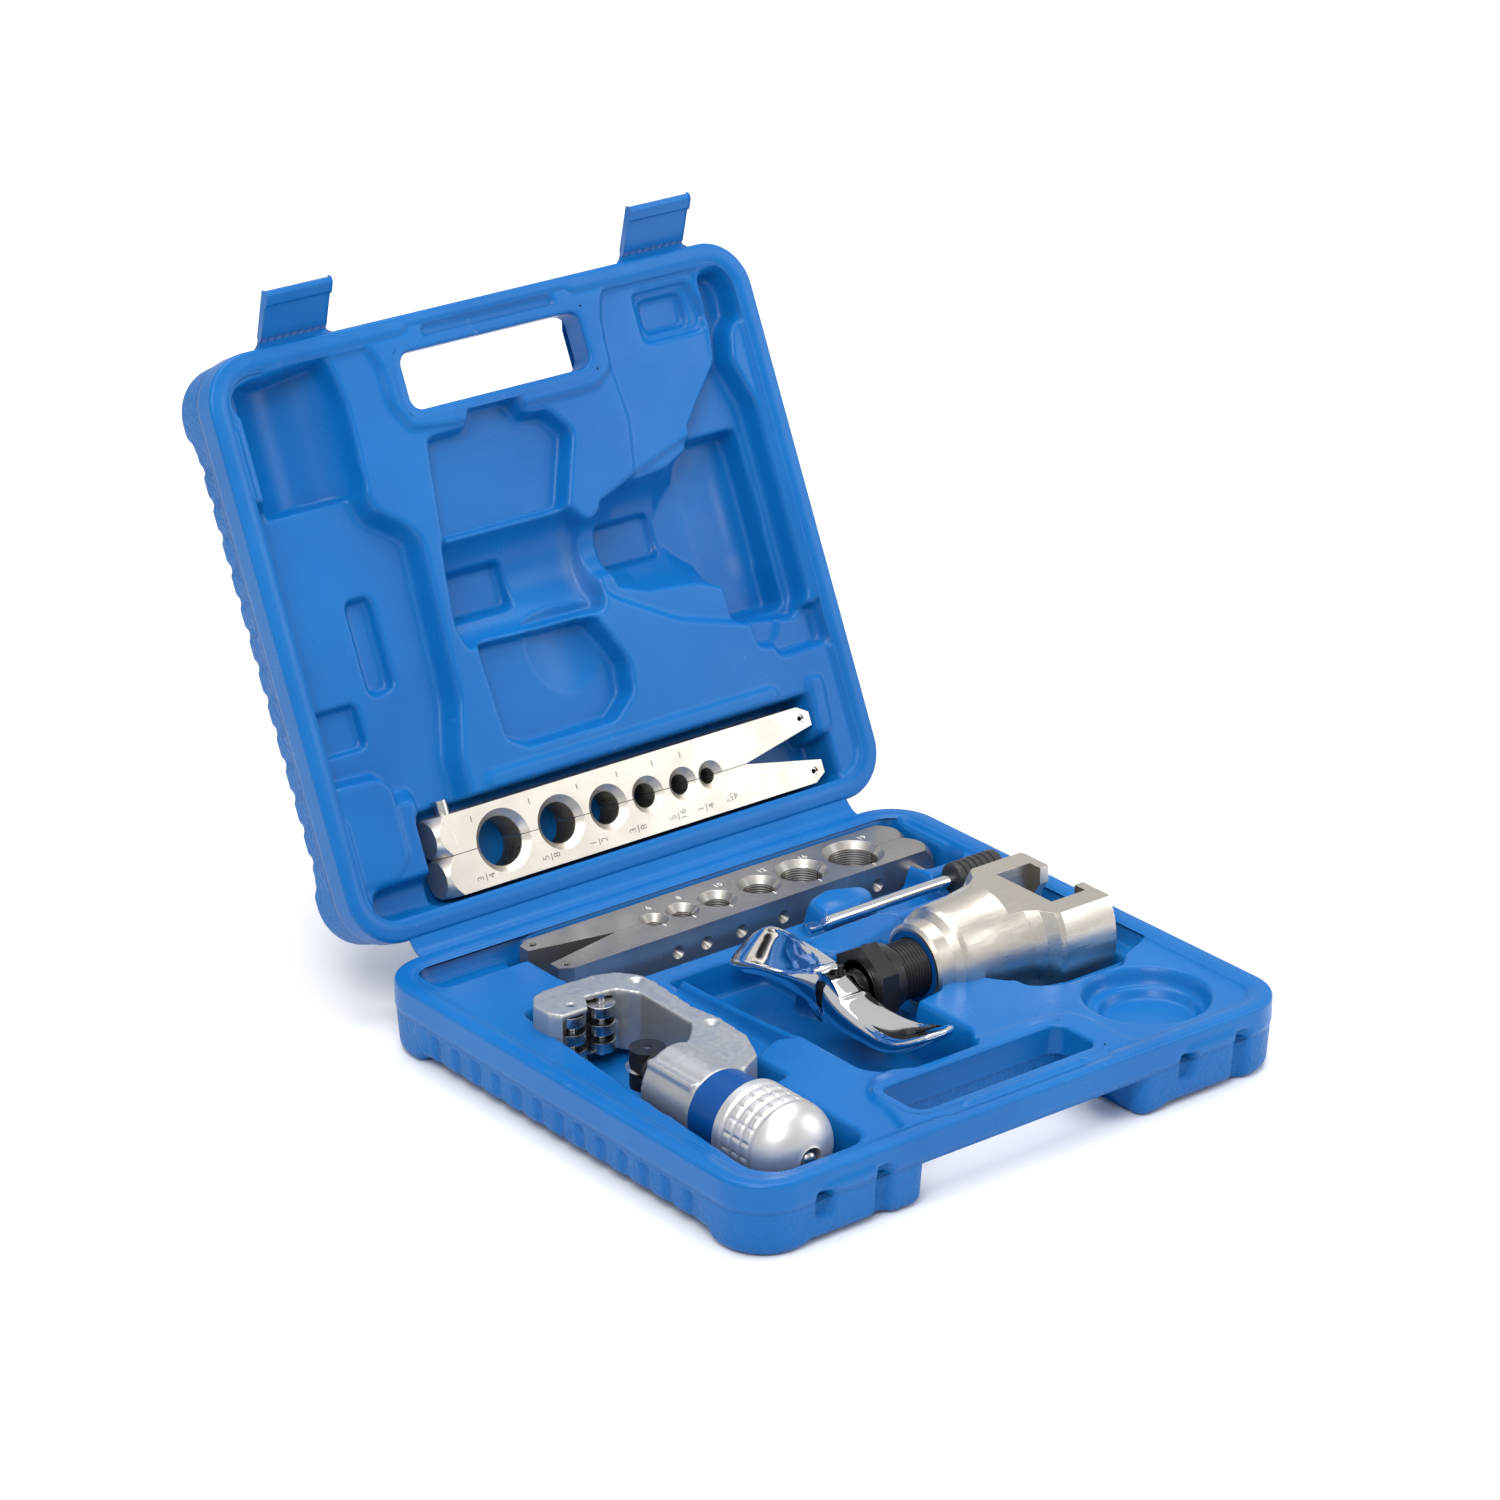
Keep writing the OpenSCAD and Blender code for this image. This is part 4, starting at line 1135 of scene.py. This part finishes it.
# how far each mark stands from its hole, towards the lobed end
INCH_LEADS = [11.5, 8.1, 8.1, 8.3, 5.9, 5.9]
METRIC_LEADS = [11.7, 7.9, 8.5, 7.4, 5.4, 4.2]
inch_marks = []
for (x, _, text), lead in zip(INCH_HOLES, INCH_LEADS):
    inch_marks += stacked(text, lead - x, 11.2)
inch_marks.append(("45\u00b0", -132.6, 10.2, 0))
metric_marks = [(text, lead - x, 9.2, 0) for (x, _, text), lead in zip(METRIC_HOLES, METRIC_LEADS)]
for piece, body, ink in (
    (lettering("inch_bar_sizes", inch_marks, 4.2, UPRIGHT_INCH), "inch_bar", pale_ink),
    (strokes("inch_bar_strokes", INCH_HOLES, -1, INCH, 11.5), "inch_sliding_jaw", pale_ink),
    (lettering("metric_bar_sizes", metric_marks, 4.0, UPRIGHT_METRIC), "metric_bar", bright_ink),
    (strokes("metric_bar_strokes", METRIC_HOLES, 1, METRIC), "metric_sliding_jaw", bright_ink),
):
    finish_piece(piece, body, ink, "satin_nickel")

# --------------------------------------------------------------- flaring yoke

YOKE = BASE @ Matrix.Translation((YOKE_X, YOKE_Y, 0.0))
finish_piece(rounded_node("yoke_body", 0.35, 2, 22, 17), "yoke", nickel, "satin_nickel", "yoke_body")
finish_piece(rounded_node("yoke_bush", 0.4), "yoke", part_blue, "bush_blue", "yoke_bush")
finish_piece(rounded_node("lock_nut", 0.6, 2), "screw", black_metal, "black_oxide", "lock_nut")


def feed_screw():
    """The threaded spindle, with its thread running out at both ends, and the plain nose."""
    pitch, start, stop, radius = 1.5, -17.3, 34.5, 10.9
    steps = 96
    per_turn = 10
    verts = []
    xs = np.arange(start, stop + 0.01, pitch / per_turn)
    for x in xs:
        for k in range(steps):
            a = 2 * math.pi * k / steps
            phase = (x / pitch - k / steps) % 1.0
            tooth = 1 - abs(2 * phase - 1)
            depth = 0.75 * (1 - min(1.0, tooth * 1.25))
            cut_in, cut_out = smoothstep(start + 0.2, start + 1.4, x), smoothstep(stop - 1.4, stop - 0.2, x)
            ends = float(cut_in * (1 - cut_out))
            r = radius - 0.5 * (1 - ends) - depth * ends
            verts.append((x, r * math.cos(a), r * math.sin(a)))
    n = len(xs)
    faces = ring_faces(n, steps)
    faces.append(list(range(steps)))
    faces.append([(n - 1) * steps + k for k in range(steps)])
    thread = outward(new_mesh("thread", verts, faces))
    smooth_by_angle(thread, 60)
    shank = lathe("shank", [(-41, 5.6), (-40.6, 6.0), (-25.3, 6.0), (-25.2, 8.0), (-17.2, 8.0)], 48, None)
    tip = [(34.4, 7.0), (39.8, 7.0), (40.2, 6.6), (40.21, 3.0), (44.9, 3.0), (45.2, 2.7)]
    off_centre = Matrix.Translation((0, 0.8, 0))
    nose = lathe("nose", tip, 48, off_centre)
    obj = join("feed_screw_threaded", [thread, smooth_by_angle(shank), smooth_by_angle(nose)])
    smooth_by_angle(obj, 60)
    obj.data.transform(YOKE)
    finish_piece(obj, "screw", black_metal, "black_oxide", "feed_screw")


feed_screw()


def sweep(name, stations, around=48):
    """A tapering arm through stations of (centre, half width, half thickness, twist, dish)."""
    rings = []
    for t in np.linspace(0, len(stations) - 1, 9 * (len(stations) - 1) + 1):
        k = min(int(t), len(stations) - 2)
        f = t - k
        picks = [np.array(flatten(stations[min(max(k + d, 0), len(stations) - 1)])) for d in (-1, 0, 1, 2)]
        here = catmull(picks, f)
        centre, half_w, half_t, twist, dish = here[:3], here[3], here[4], math.radians(here[5]), here[6]
        across = np.array((math.cos(twist), 0.0, math.sin(twist)))
        up = np.array((-math.sin(twist), 0.0, math.cos(twist)))
        ring = []
        for a in np.linspace(0, 2 * math.pi, around, endpoint=False):
            c, q = math.cos(a), math.sin(a)
            u = math.copysign(abs(c) ** 0.62, c)
            w = math.copysign(abs(q) ** 0.62, q)
            sink = dish * max(0.0, 1 - (u / 0.74) ** 4) if w > 0 else 0.0
            ring.append(centre + across * half_w * u + up * (half_t * w - sink))
        rings.append(np.array(ring))
    return close_ends(loft(name, rings))


def flatten(station):
    """A station's numbers in one row."""
    centre, *rest = station
    return (*centre, *rest)


def catmull(picks, f):
    """A smooth curve through the middle two of four values."""
    a, b, c, d = picks
    square, cube = 2 * a - 5 * b + 4 * c - d, 3 * b - a - 3 * c + d
    return 0.5 * (2 * b + (c - a) * f + square * f * f + cube * f**3)


def screw_handle():
    """A pressed S-shaped lever: a dished arm curling up in front, and a twisted spoon behind."""
    hub = lathe("hub", [
        (-42.0, 6.2), (-42.0, 10.2), (-41.2, 11.0), (-26.8, 11.0), (-26.0, 10.2), (-26.0, 6.4),
        (-41.0, 6.2),
    ], 64, Matrix.Translation((YOKE_X, YOKE_Y, 0)), close=False)
    front = sweep("front", [
        ((-5.2, -10.0, -0.8), 7.8, 8.2, 0, 0.0),
        ((-5.0, -20.0, -3.6), 8.6, 6.6, 0, 0.4),
        ((-5.4, -32.0, -4.2), 8.9, 5.0, 0, 0.9),
        ((-5.2, -44.0, -3.6), 10.2, 4.4, 0, 1.1),
        ((-4.6, -54.0, -0.8), 11.6, 3.6, 0, 1.0),
        ((-4.8, -62.0, 3.2), 10.0, 2.8, 0, 0.7),
        ((-5.6, -66.8, 6.2), 6.4, 1.9, 0, 0.3),
        ((-5.8, -68.6, 7.2), 2.2, 0.9, 0, 0.0),
    ])
    rear = sweep("rear", [
        ((-5.2, -6.0, 1.2), 7.8, 7.6, 0, 0.0),
        ((-5.4, 4.0, 2.6), 8.6, 6.4, 14, 0.3),
        ((-5.4, 16.0, 3.2), 9.0, 5.0, 30, 0.8),
        ((-4.4, 28.0, 2.2), 9.6, 4.2, 38, 1.0),
        ((-3.2, 39.0, -0.4), 10.2, 3.4, 40, 1.0),
        ((-2.2, 46.4, -3.4), 9.2, 2.8, 38, 0.6),
        ((-1.6, 50.6, -5.6), 6.8, 2.2, 36, 0.2),
        ((-1.2, 52.8, -7.0), 2.6, 1.2, 34, 0.0),
    ])
    obj = join("screw_handle_cast", [outward(hub), front, rear])
    melted(obj, 0.5, 10)
    obj.data.transform(BASE)
    finish_piece(obj, "handle", chrome, "chrome", "screw_handle")


screw_handle()

# ---------------------------------------------------------------- tube cutter

CUTTER = BASE @ Matrix.Translation((-87.5, 4.5, -5.0))
ALONG_Y = CUTTER @ Matrix.Rotation(math.pi / 2, 4, "Z")
finish_piece(cast_node("cutter_frame", 0.6, 5), "cutter", cast, "cast_silver", "cutter_frame")
for node, width, body, finish, slot_name in (
    ("cutter_sleeve", 0.5, "cutter", part_blue, "bush_blue"),
    ("outer_rollers", 0.5, "outer_rollers", steel, "steel"),
    ("inner_rollers", 0.5, "inner_rollers", steel, "steel"),
    ("wheel_carriage", 0.6, "carriage", black_metal, "black_oxide"),
):
    finish_piece(rounded_node(node, width), body, finish, slot_name, node)


def cutter_knob():
    """A domed knob with a raised rim and three rows of raised pads round its skirt."""
    radius, top, bottom, dome = 17.4, -67.0, -101.5, 14.0
    steps = 220
    pads = 20
    rows = (-72.4, -77.4, -82.4, -87.2)         # the grooves round the knob, between the pads
    profile = [(top - 3.0, 4.6), (top, 4.6), (top, radius - 1.6), (top, radius - 0.8)]
    profile += [(top - 0.3 - 0.5 * math.sin(t), radius - 0.5 + 0.5 * math.sin(t)) for t in (0.3, 0.8, 1.4)]
    profile += [(y, radius) for y in np.arange(top - 1.2, bottom + dome, -0.4)]
    for a in range(0, 74, 4):
        t = math.radians(a)
        profile.append((bottom + dome - dome * math.sin(t), radius * math.cos(t)))
    recess = [(0.35, 4.9), (0.9, 4.5), (3.0, 4.3), (5.0, 4.2), (5.1, 0.4)]
    profile += [(bottom + depth, r) for depth, r in recess]
    verts = []
    n = len(profile)
    for k in range(steps):
        a = 2 * math.pi * k / steps
        wave = abs((k * pads / steps) % 1.0 - 0.5) * 2
        slot_cut = float(smoothstep(0.72, 0.92, wave))
        for y, r in profile:
            if r > radius - 0.1 and y < top - 1.0:
                ring_cut = max(float(band(c - 0.75, c + 0.75, 0.7, y)) for c in rows)
                skirt = float(band(rows[-1], rows[0], 0.7, y))
                r = r - 0.75 * ring_cut - 0.55 * slot_cut * skirt * (1 - ring_cut)
            verts.append((y, r * math.cos(a), r * math.sin(a)))
    faces = turned_faces(steps, n)
    faces.append([k * n + n - 1 for k in range(steps)])
    obj = outward(new_mesh("cutter_knob_turned", verts, faces))
    smooth_by_angle(obj, 50)
    obj.data.transform(ALONG_Y)
    finish_piece(obj, "knob", knob_metal, "cast_silver", "cutter_knob")


cutter_knob()

# ------------------------------------------------------------------ deburrer

DEBURRER = BASE @ Matrix.Translation((0.0, 42.5, -1.0))


def deburrer():
    """A plain rod with a flattened, notched tip, in a ribbed grip."""
    rod = [(23.0, 1.5), (23.4, 2.1), (24.2, 2.4)] + [(x, 2.4) for x in np.arange(25, 40, 0.6)]
    rod += [(x, 2.4) for x in np.arange(40, 104, 4)] + [(105.0, 2.4)]
    blade = lathe("blade", rod, 40, None)
    for v in blade.data.vertices:
        x = v.co.x
        flat = 0.8 - 0.35 * float(band(28.0, 30.5, 1.2, x)) if x < 32 else 2.4
        ramp = float(smoothstep(31.0, 36.0, x))
        v.co.z = min(v.co.z, flat * (1 - ramp) + 2.4 * ramp)
        notch = 0.9 * float(band(29.0, 31.6, 1.0, x))
        v.co.y = v.co.y * (1 - 0.28 * notch)
    smooth_by_angle(blade, 40)
    blade.data.transform(DEBURRER)
    finish_piece(blade, "deburrer", chrome, "chrome", "deburrer_blade")

    skin = [(93.0, 2.6), (93.0, 5.4), (93.4, 6.1), (94.0, 6.4)]
    for ridge in range(6):
        x = 95.2 + 2.9 * ridge
        skin += [(x, 6.5), (x + 0.4, 6.45), (x + 0.7, 5.95), (x + 1.2, 5.95), (x + 1.5, 6.45)]
    skin += [(114.0, 6.4), (114.7, 6.1), (115.0, 5.4), (115.0, 0.5)]
    grip = smooth_by_angle(lathe("grip", skin, 64, None), 50)
    grip.name = "deburrer_grip_ribbed"
    grip.data.transform(DEBURRER)
    finish_piece(grip, "deburrer", black_plastic, "grip_black", "deburrer_grip")


deburrer()

# ------------------------------------------- finishes for the nodes that stay

FINISH = {
    "case_blue": inner_blue, "bush_blue": part_blue, "satin_nickel": nickel, "chrome": chrome,
    "steel": steel, "cast_silver": cast, "black_oxide": black_metal, "grip_black": black_plastic,
}
slot_of = {s["node"]: s["material_slot"] for s in frame["record"]["subparts"]}
for node_name, node_object in frame["nodes"].items():
    if not node_object.hide_render:
        node_object.data.materials.clear()
        node_object.data.materials.append(FINISH[slot_of[node_name]])

# ------------------------------------------------------- floor, light, camera


def floor():
    """The pale ground that the case stands on."""
    m = Nodes("pale_floor")
    tint = m.mix(m.noise(3.0), (0.92, 0.92, 0.92, 1.0), (0.95, 0.95, 0.95, 1.0))
    material = m.done(Base_Color=tint, Roughness=m.levels(m.noise(30.0), 0.3, 0.7, 0.55, 0.7))
    size = 6.0
    corners = [(-size, -size, 0), (size, -size, 0), (size, size, 0), (-size, size, 0)]
    obj = new_mesh("floor", corners, [(0, 1, 2, 3)])
    obj.data.materials.append(material)


def area_light(name, place, target, size, power):
    """A soft white rectangle of light, aimed at the target."""
    data = bpy.data.lights.new(name, "AREA")
    data.shape = "RECTANGLE"
    data.size, data.size_y = size
    data.energy = power
    obj = linked(name, data)
    obj.location = place
    obj.rotation_euler = (Vector(target) - Vector(place)).to_track_quat("-Z", "Y").to_euler()


floor()
area_light("key", (-1.1, -0.9, 1.7), (0, 0.05, 0.05), (1.0, 1.0), 27)
area_light("top", (0.2, 0.3, 2.0), (0, 0.05, 0.0), (1.6, 1.6), 30)
area_light("fill", (1.4, -1.0, 0.9), (0, 0.05, 0.08), (1.0, 1.0), 9)
world = bpy.data.worlds.new("studio")
world.use_nodes = True
world.node_tree.nodes["Background"].inputs["Color"].default_value = (1.0, 1.0, 1.0, 1.0)
world.node_tree.nodes["Background"].inputs["Strength"].default_value = 0.66
bpy.context.scene.world = world

camera_data = bpy.data.cameras.new("camera")
camera_data.lens = 123.8
camera_data.sensor_width = 36.0
camera_data.clip_end = 20.0
camera = linked("camera", camera_data)
# the photo's viewpoint, solved from the edges of the open case
azimuth, elevation, roll = math.radians(-38.256), math.radians(23.131), math.radians(-0.127)
camera.location = (-1.0689, -1.3079, 0.842)
looking = Vector((
    -math.sin(azimuth) * math.cos(elevation), math.cos(azimuth) * math.cos(elevation), -math.sin(elevation)
))
turn = looking.to_track_quat("-Z", "Y").to_matrix() @ Matrix.Rotation(roll, 3, "Z")
camera.rotation_euler = turn.to_euler()
bpy.context.scene.camera = camera
bpy.context.scene.view_settings.view_transform = "Standard"
